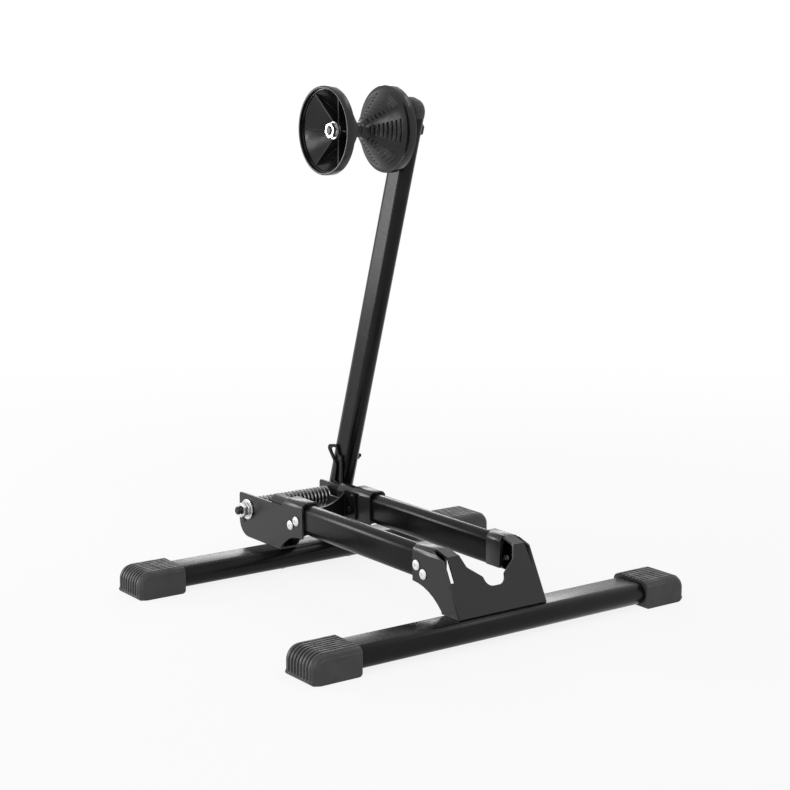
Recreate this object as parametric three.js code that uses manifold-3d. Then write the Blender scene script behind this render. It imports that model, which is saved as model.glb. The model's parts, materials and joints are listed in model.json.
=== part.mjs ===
// Floor bike rack: two flat-oval floor tubes with plastic foot caps, two rails between pressed
// brackets, and a sprung arm at the rear right that presses a double-cone roller onto the tyre.
// Millimetres. X runs across the rack, the bicycle rolls in from -Y, +Z is up, the floor is Z = 0.
// Inside the model Y = 0 is midway between the floor tubes; the group is moved at the end, so
// that its origin is on the floor under the middle of the whole rack.
import * as THREE from "three";
import { mergeVertices } from "three/addons/utils/BufferGeometryUtils.js";
import Module from "manifold-3d";

const wasm = await Module();
wasm.setup();

// ---- Driving dimensions ----
const fit = 0.3; // clearance between pieces that touch, and round each shank

// Overall
const overallWidth = 410; // over the foot caps
const floorTubeSpacing = 284; // front floor tube to rear floor tube

// Floor tubes, flat oval lying flat
const floorTubeDepth = 40;
const floorTubeHeight = 20;
const floorTubeWall = 1.5;
const floorTubeGround = 3; // under the tube

// Foot caps
const capLength = 48;
const capSideWall = 1.4;
const capTopWall = 2.2;
const capEndWall = 11.5;
const capShoulderRound = 5;
const capNoseRound = 13;
const capToeRound = 3;

// Rails, flat oval standing upright
const railSpacing = 78;
const railHeight = 30;
const railWidth = 15;
const railWall = 1.5;
const railBottom = 44; // above the floor
const railRearEnd = 5; // past the middle of the rear floor tube
const railFrontEnd = 32.5; // behind the middle of the front floor tube

// Pressed brackets
const sheet = 1.8;
const bracketBend = 6; // outside radius of the bends along the rails
const rivetHead = 9.4;
const rivetHeadHeight = 1.4;
const rivetShank = 4.8;
const rivetGrip = 7; // shank inside the bracket's outer face

// Front bracket
const frontToe = 10.6; // plate's lower edge before the middle of the front floor tube
const frontLean = 28; // degrees that the notched plate leans back
const frontShoulder = 33; // along the plate, up to the relief beside the side plate
const frontRelief = 6; // the plate is this much narrower on each side above its shoulder
const frontFoot = 26; // along the floor tube's depth
const frontTabRear = 30; // tab's rear edge behind the middle of the front floor tube
const frontTabTop = 72.4; // the tabs' front edge above the floor
const frontTabHalf = 30.6; // half width of the notch at the tabs
const frontKneeHalf = 25.8; // notch, half widths and distances along the plate
const frontKneeUp = 44;
const frontThroatHalf = 11.9;
const frontThroatUp = 33.4;
const frontBottomHalf = 9.6;
const frontBottomUp = 24.1;
const frontSideRear = 57; // side plate's rear edge behind the middle of the front floor tube
const frontSideLow = 43.4; // side plate's lower edge above the floor
const frontInnerFront = 33.2; // inner plate beside the rail, behind the middle of the front floor tube
const frontInnerRear = 52;
const frontInnerLow = 47; // above the floor
const frontFlangeStep = 3.5; // the flange is this much narrower before and behind the inner plate
const frontRivetBack = 51.5; // upper rivet behind the middle of the front floor tube
const frontRivetUp = 14.4; // above the rails' lower edge
const frontBoltBack = 1.5;

// Rear brackets
const rearPlateFront = 53; // before the middle of the rear floor tube
const rearFlangeLength = 28.5;
const rearStepRun = 7.5; // slope behind the top flange
const rearPlateTop = 67.2; // above the floor, behind the slope
const rearPlateLow = 41.5; // lower edge in front of the floor tube
const rearFootFront = 15; // before the middle of the rear floor tube
const rearFootRear = 16; // behind it
const rearInnerDrop = 6; // inner plate's upper edge below the outer plate's
const rearInnerRear = 18; // inner plate's rear edge behind the middle of the floor tube
const rearEarReach = 16.8; // bracket ear behind the axle
const rearEarRound = 16;
const rearRivetFront = 42.7; // upper rivet before the middle of the rear floor tube
const rearRivetUp = 13; // above the rails' lower edge

// Rear cradle, a web between the rear brackets
const cradleBefore = 12; // web before the middle of the rear floor tube
const cradleNotchRadius = 38.8;
const cradleNotchBottom = 57.5; // above the floor
const cradleWing = 20;
const cradleTop = 71.5;
const cradleBottom = 45;
const cradleRivetHead = 6.2;
const cradleRivetHeadHeight = 1.2;
const cradleRivetShank = 3.6;

// Floor bolts
const floorBolt = 6;
const floorBoltHead = 11;
const floorBoltHeadHeight = 2.2;
const floorNut = 10; // across flats
const floorNutHeight = 5;
const boltEnd = 1; // shank past its nut

// Arm axle
const axleBack = 42.5; // behind the middle of the rear floor tube
const axleHeight = 51.7; // above the floor
const axle = 8;
const axleNut = 13; // across flats
const axleNutHeight = 6.6;
const axleWasher = 20;
const axleWasherThick = 2;
const axleEnd = 4.6; // stud past the nut
const axleHead = 14;
const axleHeadHeight = 4.5;

// Torsion spring round the hub's sleeve
const wire = 2.6;
const springOutside = 22;
const springTurns = 21; // nearly: the two legs take up the rest
const springSide = 2.2; // from the middle of the end turns to the brackets
const springLeg = 5.5; // leg past the middle of its pin

// Swing hub and drive pin
const sleeve = 14;
const hubThick = 2.5;
const hubRadius = 13;
const hubRelief = 2.2; // the rim is this much lower where the lever's tooth travels
const reliefFrom = 175; // degrees round the axle from the rear, over the top
const reliefTo = 275;
const drivePin = 5;
const drivePinOut = 14.5; // from the axle
const drivePinAngle = 300; // degrees, at rest
const drivePinWall = 1.7;
const drivePinInside = 5.6; // past the bracket's inner face
const anchorPinEnd = 0; // flush with the left bracket's outer face
const swingBack = 48; // degrees from rest to the end of the slot

// Arm
const armDepth = 30;
const armWidth = 15;
const armWall = 1.5;
const armLean = 17.1; // degrees forward at rest
const armLength = 404; // axle to the tube's upper end
const armFoot = 11; // axle to the tube's lower end
const armCapHeight = 15;
const armCapPlug = 9;
const armFootHeight = 5;
const armFootPlug = 4;
const armBush = 12;
const armWasher = 18;
const armWasherThick = 1.5;

// Release lever, measured from the axle, along the arm and across it
const leverThick = 2;
const leverPin = 4;
const leverPinAlong = 44.3;
const leverPinForward = 2.8; // before the arm's middle line
const leverBoss = 6.8;
const leverNut = 7; // across flats
const leverNutHeight = 5;
const leverPinEnd = 3;
const leverStrand = 3;
const leverReach = 55.8; // finger end above the axle
const toothDepth = 1.8; // inside the hub's rim

// Roller
const rollerBelowEnd = 13.8; // roller's middle below the arm tube's upper end
const rollerOffset = 1; // roller's middle to the right of the rack's middle
const rollerRadius = 40.2;
const rollerHalf = 38.4; // middle to outer rim
const rollerBand = 8.4; // width of the rim
const rollerRim = 2.4; // thickness of the rim
const rollerNeck = 7; // radius
const rollerNeckHalf = 4; // middle to the start of the cone
const rollerWall = 2.5;
const rollerBoss = 8.4; // radius
const rollerBossEnd = 25; // from the middle
const rollerRibs = 6;
const rollerRibTurn = 12.9; // degrees, so that two ribs lie level when the arm leans at rest
const rollerRibThick = 2;
const rollerWasher = 16;
const rollerWasherThick = 1.5;
const rollerNut = 13; // across flats
const rollerNutHeight = 4;
const rollerNutOutside = 3.6; // a low head on the arm's outer side
const rollerStud = 1.4; // past the nuts
const rollerSpacer = 13;

// ---- Sizes that follow ----
const frontY = -floorTubeSpacing / 2;
const rearY = floorTubeSpacing / 2;
const tubeMiddle = floorTubeGround + floorTubeHeight / 2;
const tubeTop = floorTubeGround + floorTubeHeight;
const capDepth = floorTubeDepth + 2 * (fit + capSideWall);
const capHeight = tubeTop + fit + capTopWall;
const floorTubeLength = overallWidth - 2 * (capEndWall + fit);
const railX = railSpacing / 2;
const railTop = railBottom + railHeight;
const plateInside = railX + railWidth / 2 + fit;
const plateOutside = plateInside + sheet;
const innerOutside = railX - railWidth / 2 - fit;
const innerInside = innerOutside - sheet;
const flangeBottom = railTop + fit;
const flangeTop = flangeBottom + sheet;
const footBottom = tubeTop + fit;
const footTop = footBottom + sheet;
const axleY = rearY + axleBack;
const hubInside = plateOutside + fit;
const hubOutside = hubInside + hubThick;
const armInside = hubOutside + fit;
const armOutside = armInside + armWidth;
const armX = (armInside + armOutside) / 2;
const rollerAlong = armLength - rollerBelowEnd;
const springRadius = (springOutside - wire) / 2;
const hole = (shank) => shank / 2 + fit;
const hexRadius = (flats) => flats / Math.sqrt(3);
const radians = THREE.MathUtils.degToRad;
const degrees = THREE.MathUtils.radToDeg;

// ---- Geometry helpers ----

// A closed geometry as a manifold solid.
function solid(geometry) {
  const bare = geometry.clone();
  bare.deleteAttribute("normal");
  bare.deleteAttribute("uv");
  const merged = mergeVertices(bare, 1e-4);
  const vertProperties = new Float32Array(merged.attributes.position.array);
  const triVerts = new Uint32Array(merged.index.array);
  const made = new wasm.Manifold(new wasm.Mesh({ numProp: 3, vertProperties, triVerts }));
  if (made.volume() > 0) return made;
  return new wasm.Manifold(new wasm.Mesh({ numProp: 3, vertProperties, triVerts: triVerts.reverse() }));
}

function geometryOf(body) {
  const mesh = body.getMesh();
  const geometry = new THREE.BufferGeometry();
  geometry.setAttribute("position", new THREE.BufferAttribute(mesh.vertProperties, 3));
  geometry.setIndex(new THREE.BufferAttribute(mesh.triVerts, 1));
  geometry.computeVertexNormals();
  return geometry;
}

const join = (bodies) => bodies.reduce((all, next) => all.add(next));
const cut = (body, tools) => tools.reduce((left, tool) => left.subtract(tool), body);

// Points on an arc, in degrees from the first axis of the outline.
function arc(a, b, radius, from, to, steps) {
  const points = [];
  for (let i = 0; i <= steps; i++) {
    const angle = radians(from + ((to - from) * i) / steps);
    points.push([a + radius * Math.cos(angle), b + radius * Math.sin(angle)]);
  }
  return points;
}

// An arc that leaves the first point level and ends at the second.
function archway(a0, b0, a1, b1, steps) {
  const run = a1 - a0;
  const drop = b0 - b1;
  const radius = (run * run + drop * drop) / (2 * drop);
  const sweep = (Math.asin(Math.min(1, Math.abs(run) / radius)) * 180) / Math.PI;
  return arc(a0, b0 - radius, radius, 90, 90 - Math.sign(run) * sweep, steps);
}

// A closed outline whose corners [a, b, radius] are rounded where a radius is given.
function outline(corners, steps = 4) {
  const points = [];
  corners.forEach(([a, b, radius], i) => {
    if (!radius) {
      points.push(new THREE.Vector2(a, b));
      return;
    }
    const here = new THREE.Vector2(a, b);
    const [pa, pb] = corners.at(i - 1);
    const [na, nb] = corners[(i + 1) % corners.length];
    const back = new THREE.Vector2(pa, pb).sub(here).normalize();
    const ahead = new THREE.Vector2(na, nb).sub(here).normalize();
    const half = Math.acos(THREE.MathUtils.clamp(back.dot(ahead), -1, 1)) / 2;
    const reach = radius / Math.tan(half);
    const start = here.clone().addScaledVector(back, reach);
    const end = here.clone().addScaledVector(ahead, reach);
    const middle = back.clone().add(ahead).normalize();
    const centre = here.clone().addScaledVector(middle, radius / Math.sin(half));
    const from = start.clone().sub(centre).angle();
    let sweep = end.clone().sub(centre).angle() - from;
    if (sweep > Math.PI) sweep -= 2 * Math.PI;
    if (sweep < -Math.PI) sweep += 2 * Math.PI;
    for (let k = 0; k <= steps; k++) {
      const angle = from + (sweep * k) / steps;
      const spoke = new THREE.Vector2(Math.cos(angle), Math.sin(angle));
      points.push(centre.clone().addScaledVector(spoke, radius));
    }
  });
  return new THREE.Shape(points);
}

function oval(wide, high, a = 0, b = 0, steps = 9) {
  const radius = Math.min(wide, high) / 2;
  const run = (wide - 2 * radius) / 2;
  const rise = (high - 2 * radius) / 2;
  const turn = wide > high ? -90 : 0;
  const ends = [
    arc(a + run, b + rise, radius, turn, turn + 180, steps),
    arc(a - run, b - rise, radius, turn + 180, turn + 360, steps),
  ];
  return new THREE.Shape(ends.flat().map(([p, q]) => new THREE.Vector2(p, q)));
}

// Extrusions: the outline is drawn in (Y, Z), (X, Z) or (X, Y).
const turnToX = new THREE.Matrix4().makeBasis(
  new THREE.Vector3(0, 1, 0), new THREE.Vector3(0, 0, 1), new THREE.Vector3(1, 0, 0),
);
const turnToY = new THREE.Matrix4().makeBasis(
  new THREE.Vector3(1, 0, 0), new THREE.Vector3(0, 0, 1), new THREE.Vector3(0, -1, 0),
);
const extruded = (shape, depth) => new THREE.ExtrudeGeometry(shape, { depth, bevelEnabled: false });
function alongX(shape, from, to) {
  return solid(extruded(shape, to - from).applyMatrix4(turnToX).translate(from, 0, 0));
}
function alongY(shape, from, to) {
  return solid(extruded(shape, to - from).applyMatrix4(turnToY).translate(0, to, 0));
}
const alongZ = (shape, from, to) => solid(extruded(shape, to - from).translate(0, 0, from));

function box(x0, x1, y0, y1, z0, z1) {
  const block = new THREE.BoxGeometry(x1 - x0, y1 - y0, z1 - z0);
  return solid(block.translate((x0 + x1) / 2, (y0 + y1) / 2, (z0 + z1) / 2));
}

// Round bars; six sides make a hexagon.
function barX(radius, from, to, y, z, sides = 20) {
  const bar = new THREE.CylinderGeometry(radius, radius, to - from, sides);
  return solid(bar.rotateZ(-Math.PI / 2).translate((from + to) / 2, y, z));
}
function barZ(radius, from, to, x, y, sides = 20) {
  const bar = new THREE.CylinderGeometry(radius, radius, to - from, sides);
  return solid(bar.rotateX(Math.PI / 2).translate(x, y, (from + to) / 2));
}

// A profile of [distance along X, radius] turned round the X axis.
function turned(profile, steps) {
  const points = [...profile, profile[0]].map(([x, r]) => new THREE.Vector2(r, x));
  return solid(new THREE.LatheGeometry(points, steps).rotateZ(-Math.PI / 2));
}

const mirrorX = (body) => body.mirror([1, 0, 0]);

// A round wire through points, as one closed tube.
function wireAlong(path, thick, sides = 5) {
  const rings = [];
  const tangent = (i) =>
    path[Math.min(i + 1, path.length - 1)].clone().sub(path[Math.max(i - 1, 0)]).normalize();
  let across = new THREE.Vector3(0, 0, 1).cross(tangent(0));
  if (across.lengthSq() < 0.01) across = new THREE.Vector3(0, 1, 0).cross(tangent(0));
  path.forEach((centre, i) => {
    const ahead = tangent(i);
    across.addScaledVector(ahead, -across.dot(ahead)).normalize();
    const up = ahead.clone().cross(across);
    for (let k = 0; k < sides; k++) {
      const angle = (2 * Math.PI * k) / sides;
      const spoke = across.clone().multiplyScalar(Math.cos(angle)).addScaledVector(up, Math.sin(angle));
      rings.push(...centre.clone().addScaledVector(spoke, thick / 2).toArray());
    }
  });
  const faces = [];
  for (let i = 0; i + 1 < path.length; i++) {
    for (let k = 0; k < sides; k++) {
      const a = i * sides + k;
      const b = i * sides + ((k + 1) % sides);
      faces.push(a, b, a + sides, b, b + sides, a + sides);
    }
  }
  const last = (path.length - 1) * sides;
  for (let k = 1; k + 1 < sides; k++) {
    faces.push(0, k + 1, k);
    faces.push(last, last + k, last + k + 1);
  }
  const geometry = new THREE.BufferGeometry();
  geometry.setAttribute("position", new THREE.Float32BufferAttribute(rings, 3));
  geometry.setIndex(faces);
  geometry.computeVertexNormals();
  return geometry;
}

// Least free gap between stretches of a coil that are more than half a turn apart.
function leastGap(path, thick, apart) {
  let least = Infinity;
  for (let i = 0; i < path.length; i++) {
    for (let j = i + apart; j < path.length; j++) least = Math.min(least, path[i].distanceTo(path[j]));
  }
  return least - thick;
}

// ---- Materials ----
const finish = (color, roughness, metalness) =>
  new THREE.MeshStandardMaterial({ color, roughness, metalness });
const blackSteel = () => finish(0x17171a, 0.4, 0.1);
const springSteel = () => finish(0x1d1d20, 0.3, 0.7);
const blackPlastic = () => finish(0x2a2a2d, 0.65, 0);
const rollerPlastic = () => finish(0x303033, 0.6, 0);
const zinc = () => finish(0xc9ccd0, 0.3, 1);
const whiteRivet = () => finish(0xe4e4e6, 0.35, 0.6);

const rack = new THREE.Group();
const hinge = new THREE.Group(); // on the axle, leaning with the arm: +Z along it, -Y forward
hinge.position.set(0, axleY, axleHeight);
hinge.rotation.x = radians(armLean);
rack.add(hinge);

function add(name, body, material, parent = rack) {
  const mesh = new THREE.Mesh(body.isBufferGeometry ? body : geometryOf(body), material);
  mesh.name = name;
  parent.add(mesh);
}

function addPair(name, body, material) {
  add(`${name}_right`, body, material);
  add(`${name}_left`, mirrorX(body), material.clone());
}

// ---- Floor tubes and foot caps ----
const boltY = { front: frontY + frontBoltBack, rear: rearY };

function floorTube(y, bolts) {
  const half = floorTubeLength / 2;
  const outer = alongX(oval(floorTubeDepth, floorTubeHeight, y, tubeMiddle), -half, half);
  const inside = oval(floorTubeDepth - 2 * floorTubeWall, floorTubeHeight - 2 * floorTubeWall, y, tubeMiddle);
  const holes = [-railX, railX].map((x) => barZ(hole(floorBolt), 0, tubeTop + 1, x, bolts));
  return cut(outer, [alongX(inside, -half - 1, half + 1), ...holes]);
}

// Right-hand cap: its side view and end view crossed, less the tube's socket.
function footCap(y) {
  const inner = overallWidth / 2 - capLength;
  const outer = overallWidth / 2;
  const half = capDepth / 2;
  const side = outline([
    [inner, 0],
    [outer, 0, capToeRound],
    [outer, capHeight, capNoseRound],
    [inner, capHeight],
  ], 6);
  const end = outline([
    [y - half, 0, 1],
    [y + half, 0, 1],
    [y + half, capHeight, capShoulderRound],
    [y - half, capHeight, capShoulderRound],
  ]);
  const shell = alongY(side, y - half - 1, y + half + 1).intersect(alongX(end, inner - 1, outer + 1));
  const socket = oval(floorTubeDepth + 2 * fit, floorTubeHeight + 2 * fit, y, tubeMiddle);
  return shell.subtract(alongX(socket, inner - 1, outer - capEndWall));
}

for (const [end, y] of [["front", frontY], ["rear", rearY]]) {
  add(`${end}_floor_tube`, floorTube(y, boltY[end]), blackSteel());
  addPair(`${end}_foot_cap`, footCap(y), blackPlastic());

  const head = floorTubeGround - fit - floorBoltHeadHeight;
  const nutBase = footTop + fit;
  const nutTop = nutBase + floorNutHeight;
  const bolt = barZ(floorBoltHead / 2, head, head + floorBoltHeadHeight, railX, boltY[end], 16);
  const shank = barZ(floorBolt / 2, head + 1, nutTop + boltEnd, railX, boltY[end], 14);
  const nut = barZ(hexRadius(floorNut), nutBase, nutTop, railX, boltY[end], 6);
  const bore = barZ(hole(floorBolt), nutBase - 1, nutTop + 1, railX, boltY[end], 14);
  addPair(`${end}_floor_bolt`, bolt.add(shank), zinc());
  addPair(`${end}_floor_nut`, nut.subtract(bore), zinc());
}

// ---- Rivets ----
// Places as [Y, Z].
const frontRivets = [
  [frontY + frontRivetBack, railBottom + frontRivetUp],
  [frontY + frontRivetBack - 10, railBottom + frontRivetUp - 6.1],
];
const rearRivets = [
  [rearY - rearRivetFront, railBottom + rearRivetUp],
  [rearY - rearRivetFront + 9.8, railBottom + rearRivetUp - 5.7],
];
const webRear = rearY - cradleBefore;
const webFront = webRear - sheet;
const cradleRivets = [
  [webFront - 14.3, railTop - 6.9],
  [webFront - 7.7, railTop - 20.3],
];
const wingOutside = innerInside - fit;
const wingInside = wingOutside - sheet;

function sideRivet([y, z]) {
  const face = plateOutside + fit;
  const head = turned([[face, 0], [face, rivetHead / 2], [face + 0.5, rivetHead / 2],
    [face + rivetHeadHeight, rivetHead / 4], [face + rivetHeadHeight, 0]], 18);
  const shank = barX(rivetShank / 2, plateOutside - rivetGrip, face + 0.4, 0, 0, 10);
  return head.add(shank).translate([0, y, z]);
}

function cradleRivet([y, z]) {
  const face = wingInside - fit;
  const head = barX(cradleRivetHead / 2, face - cradleRivetHeadHeight, face, y, z, 14);
  const end = innerOutside + fit + railWall + 2.5;
  return head.add(barX(cradleRivetShank / 2, face - 0.4, end, y, z, 10));
}

const sideHoles = [...frontRivets, ...rearRivets].map(([y, z]) =>
  barX(hole(rivetShank), railX, plateOutside + 1, y, z, 12));
const cradleHoles = cradleRivets.map(([y, z]) =>
  barX(hole(cradleRivetShank), wingInside - 1, railX, y, z, 12));

for (const [place, pair] of [["front", frontRivets], ["rear", rearRivets]]) {
  pair.forEach((spot, i) => addPair(`${place}_rivet_${i + 1}`, sideRivet(spot), whiteRivet()));
}
cradleRivets.forEach((spot, i) => addPair(`cradle_rivet_${i + 1}`, cradleRivet(spot), zinc()));

// ---- Rails ----
const lean = radians(frontLean);
const plateFaceY = (z) => frontY - frontToe + (z - footBottom) * Math.tan(lean);
const plateBackY = (z) => plateFaceY(z) + sheet / Math.cos(lean);

function rail() {
  const front = frontY + railFrontEnd;
  const rear = rearY + railRearEnd;
  const middle = railBottom + railHeight / 2;
  const outer = alongY(oval(railWidth, railHeight, railX, middle), front, rear);
  const inside = oval(railWidth - 2 * railWall, railHeight - 2 * railWall, railX, middle);
  return cut(outer, [alongY(inside, front - 1, rear + 1), ...sideHoles, ...cradleHoles]);
}

addPair("rail", rail(), blackSteel());

// The channel of a bracket round its rail, as seen along the rail, with its two bends.
const channel = (left, right, top, bend) => outline([
  [left, footBottom - 1],
  [right, footBottom - 1],
  [right, top, bend],
  [left, top, bend],
], 6);

function channelTop(front, rear) {
  const inside = channel(innerOutside, plateInside, flangeBottom, bracketBend - sheet);
  const block = box(innerInside, plateOutside, front, rear, flangeTop - bracketBend, flangeTop);
  return block.subtract(alongY(inside, front - 1, rear + 1));
}

function roundedOver(body, front, rear) {
  return body.intersect(alongY(channel(innerInside, plateOutside, flangeTop, bracketBend), front, rear));
}

// ---- Front bracket: one pressing with a notched plate, two side plates, tabs and a foot ----
function frontBracket() {
  const toe = frontY - frontToe;
  const tabRear = frontY + frontTabRear;
  const plate = outline([
    [toe, footBottom],
    [plateFaceY(frontTabTop), frontTabTop],
    [tabRear, flangeTop],
    [tabRear, flangeBottom],
    [plateBackY(frontTabTop - sheet), frontTabTop - sheet],
    [plateBackY(footBottom), footBottom],
  ]);
  const along = (flangeTop - footBottom) / Math.cos(lean);
  const open = along + 20;
  const right = [
    [frontTabHalf, open],
    [frontTabHalf, along - 3, 3],
    [frontKneeHalf, frontKneeUp, 6],
    [frontThroatHalf, frontThroatUp, 3.5],
    [frontBottomHalf, frontBottomUp, 8],
  ];
  const left = right.map(([x, h, r]) => [-x, h, r]).reverse();
  const notch = alongY(outline([...right, ...left], 5), -15, 60);
  const relief = box(plateOutside - frontRelief, plateOutside + 1, -15, 60, frontShoulder, open);
  const lay = (tool) => tool.rotate([-frontLean, 0, 0]).translate([0, toe, footBottom]);
  const front = cut(alongX(plate, -plateOutside, plateOutside), [
    lay(notch),
    lay(relief),
    lay(mirrorX(relief)),
  ]);

  const rear = frontY + frontSideRear;
  const footRear = toe + frontFoot;
  const below = archway(rear, frontSideLow, footRear, footTop, 6);
  const side = outline([
    [toe, footBottom],
    [plateFaceY(railTop - 5), railTop - 5],
    [tabRear - 6, railTop - 1.5],
    [tabRear + fit, flangeTop],
    [rear, flangeTop],
    ...below,
    [footRear, footBottom],
  ]);
  const plateSide = alongX(side, plateInside, plateOutside);
  const foot = box(-plateOutside, plateOutside, toe + 1, footRear, footBottom, footTop);
  const boltHole = barZ(hole(floorBolt), footBottom - 1, footTop + 1, railX, boltY.front, 14);
  const innerFront = frontY + frontInnerFront;
  const innerRear = frontY + frontInnerRear;
  const inner = box(innerInside, innerOutside, innerFront, innerRear, frontInnerLow, flangeTop);
  const above = [flangeTop - bracketBend - 1, flangeTop + 1];
  const half = cut(roundedOver(join([plateSide, channelTop(tabRear + fit, rear), inner]), toe - 1, rear + 1), [
    box(innerInside - 1, innerOutside + frontFlangeStep, toe, innerFront, ...above),
    box(innerInside - 1, innerOutside + frontFlangeStep, innerRear, rear + 1, ...above),
  ]);
  const body = join([front, half, mirrorX(half), foot]);
  return cut(body, [boltHole, mirrorX(boltHole), ...sideHoles, ...sideHoles.map(mirrorX)]);
}

add("front_bracket", frontBracket(), blackSteel());

// ---- Rear brackets: outer plate, top flange, inner plate and foot ----
const rearBracketFront = rearY - rearPlateFront;
const flangeRear = rearBracketFront + rearFlangeLength;
const rearReach = axleY + rearEarReach;

// A curved slot round the axle, as an outline in (Y, Z).
function curvedSlot(radius, half, from, to) {
  const at = (angle) => [radius * Math.cos(radians(angle)), radius * Math.sin(radians(angle))];
  const points = [
    ...arc(0, 0, radius + half, from, to, 8),
    ...arc(...at(to), half, to + 20, to + 160, 6),
    ...arc(0, 0, radius - half, to, from, 8),
    ...arc(...at(from), half, from + 200, from + 340, 6),
  ];
  return new THREE.Shape(points.map(([y, z]) => new THREE.Vector2(y + axleY, z + axleHeight)));
}

function rearBracket(extraHoles) {
  const footFront = rearY - rearFootFront;
  const below = archway(rearBracketFront + 4, rearPlateLow, footFront, footTop, 6).reverse();
  const outer = outline([
    [rearBracketFront, flangeTop],
    [flangeRear, flangeTop],
    [flangeRear + rearStepRun, rearPlateTop],
    [rearReach, rearPlateTop - 1, 3],
    [rearReach, footBottom, rearEarRound],
    [footFront, footBottom],
    ...below,
    [rearBracketFront, rearPlateLow],
  ], 6);
  const inner = outline([
    [rearBracketFront, flangeTop],
    [flangeRear, flangeTop],
    [flangeRear + rearStepRun, rearPlateTop - rearInnerDrop],
    [rearY + rearInnerRear, rearPlateTop - rearInnerDrop - 1, 3],
    [rearY + rearInnerRear, footBottom],
    [footFront, footBottom],
    ...below,
    [rearBracketFront, rearPlateLow],
  ]);
  const joined = join([
    alongX(outer, plateInside, plateOutside),
    alongX(inner, innerInside, innerOutside),
    channelTop(rearBracketFront, flangeRear),
    box(innerInside, plateOutside, footFront, rearY + rearFootRear, footBottom, footTop),
  ]);
  const body = roundedOver(joined, rearBracketFront - 1, rearReach + 1);
  const boltHole = barZ(hole(floorBolt), footBottom - 1, footTop + 1, railX, boltY.rear, 14);
  return cut(body, [boltHole, ...sideHoles, ...cradleHoles, ...extraHoles]);
}

const plateHole = (radius, y, z, sides = 20) =>
  barX(radius, plateInside - 1, plateOutside + 1, y, z, sides);
const slot = curvedSlot(drivePinOut, hole(drivePin), drivePinAngle - swingBack, drivePinAngle);
const slotTool = alongX(slot, plateInside - 1, plateOutside + 1);
const pinY = axleY + drivePinOut * Math.cos(radians(drivePinAngle));
const pinZ = axleHeight + drivePinOut * Math.sin(radians(drivePinAngle));

add("rear_bracket_right", rearBracket([plateHole(hole(sleeve), axleY, axleHeight, 28), slotTool]), blackSteel());
add(
  "rear_bracket_left",
  mirrorX(rearBracket([plateHole(hole(axle), axleY, axleHeight), plateHole(hole(drivePin), pinY, pinZ)])),
  blackSteel(),
);

// ---- Rear cradle: a notched web with a wing folded forward at each end ----
function rearCradle() {
  const web = box(-wingOutside, wingOutside, webFront, webRear, cradleBottom, cradleTop);
  const wing = box(wingInside, wingOutside, webRear - cradleWing, webRear, cradleBottom, cradleTop);
  const centre = cradleNotchBottom + cradleNotchRadius;
  const disc = new THREE.Shape(
    arc(0, centre, cradleNotchRadius, 0, 354, 59).map(([x, z]) => new THREE.Vector2(x, z)),
  );
  const body = join([web.subtract(alongY(disc, webFront - 1, webRear + 1)), wing, mirrorX(wing)]);
  return cut(body, [...cradleHoles, ...cradleHoles.map(mirrorX)]);
}

add("rear_cradle", rearCradle(), blackSteel());

// ---- Axle, hub, drive pin and spring ----
const washerFace = -plateOutside - fit;
const nutFace = washerFace - axleWasherThick - fit;
const axleTip = nutFace - axleNutHeight - axleEnd;
const headWasher = armOutside + fit;
const headFace = headWasher + armWasherThick + fit;
const ring = (outer, inner, from, to, sides = 24) =>
  barX(outer, from, to, 0, 0, sides).subtract(barX(inner, from - 1, to + 1, 0, 0, 20));
const onAxle = (body) => body.translate([0, axleY, axleHeight]);

const axleShank = barX(axle / 2, axleTip, headFace + 1, 0, 0);
const axleCap = barX(axleHead / 2, headFace, headFace + axleHeadHeight, 0, 0, 24);
add("arm_axle", onAxle(axleShank.add(axleCap)), zinc());
const flangeWasher = ring(axleWasher / 2, hole(axle), washerFace - axleWasherThick, washerFace);
add("axle_flange_washer", onAxle(flangeWasher), zinc());
add("axle_nut", onAxle(ring(hexRadius(axleNut), hole(axle), nutFace - axleNutHeight, nutFace, 6)), zinc());
const armSideWasher = ring(armWasher / 2, hole(axle), headWasher, headWasher + armWasherThick);
add("axle_head_washer", onAxle(armSideWasher), zinc());

function swingHub() {
  const disc = barX(hubRadius, hubInside, hubOutside, 0, 0, 40);
  const relief = [
    ...arc(0, 0, hubRadius - hubRelief, reliefFrom, reliefTo, 12),
    ...arc(0, 0, hubRadius + 4, reliefTo, reliefFrom, 12),
  ].map(([y, z]) => new THREE.Vector2(y, z));
  const at = [pinY - axleY, pinZ - axleHeight];
  const lug = barX(drivePin / 2 + drivePinWall, hubInside, hubOutside, ...at, 20);
  const tube = barX(sleeve / 2, -plateInside + fit, hubOutside, 0, 0, 28);
  return cut(join([cut(disc, [alongX(new THREE.Shape(relief), hubInside - 1, hubOutside + 1)]), lug, tube]), [
    barX(hole(axle), -plateInside - 1, hubOutside + 1, 0, 0),
    barX(hole(drivePin), hubInside - 1, hubOutside + 1, ...at, 16),
  ]);
}

add("swing_hub", onAxle(swingHub()), blackSteel());
const pinTo = (end) => barX(drivePin / 2, plateInside - drivePinInside, end, pinY, pinZ, 16);
add("drive_pin", pinTo(hubOutside), zinc());
add("spring_anchor_pin", mirrorX(pinTo(plateOutside + anchorPinEnd)), zinc());

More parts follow.
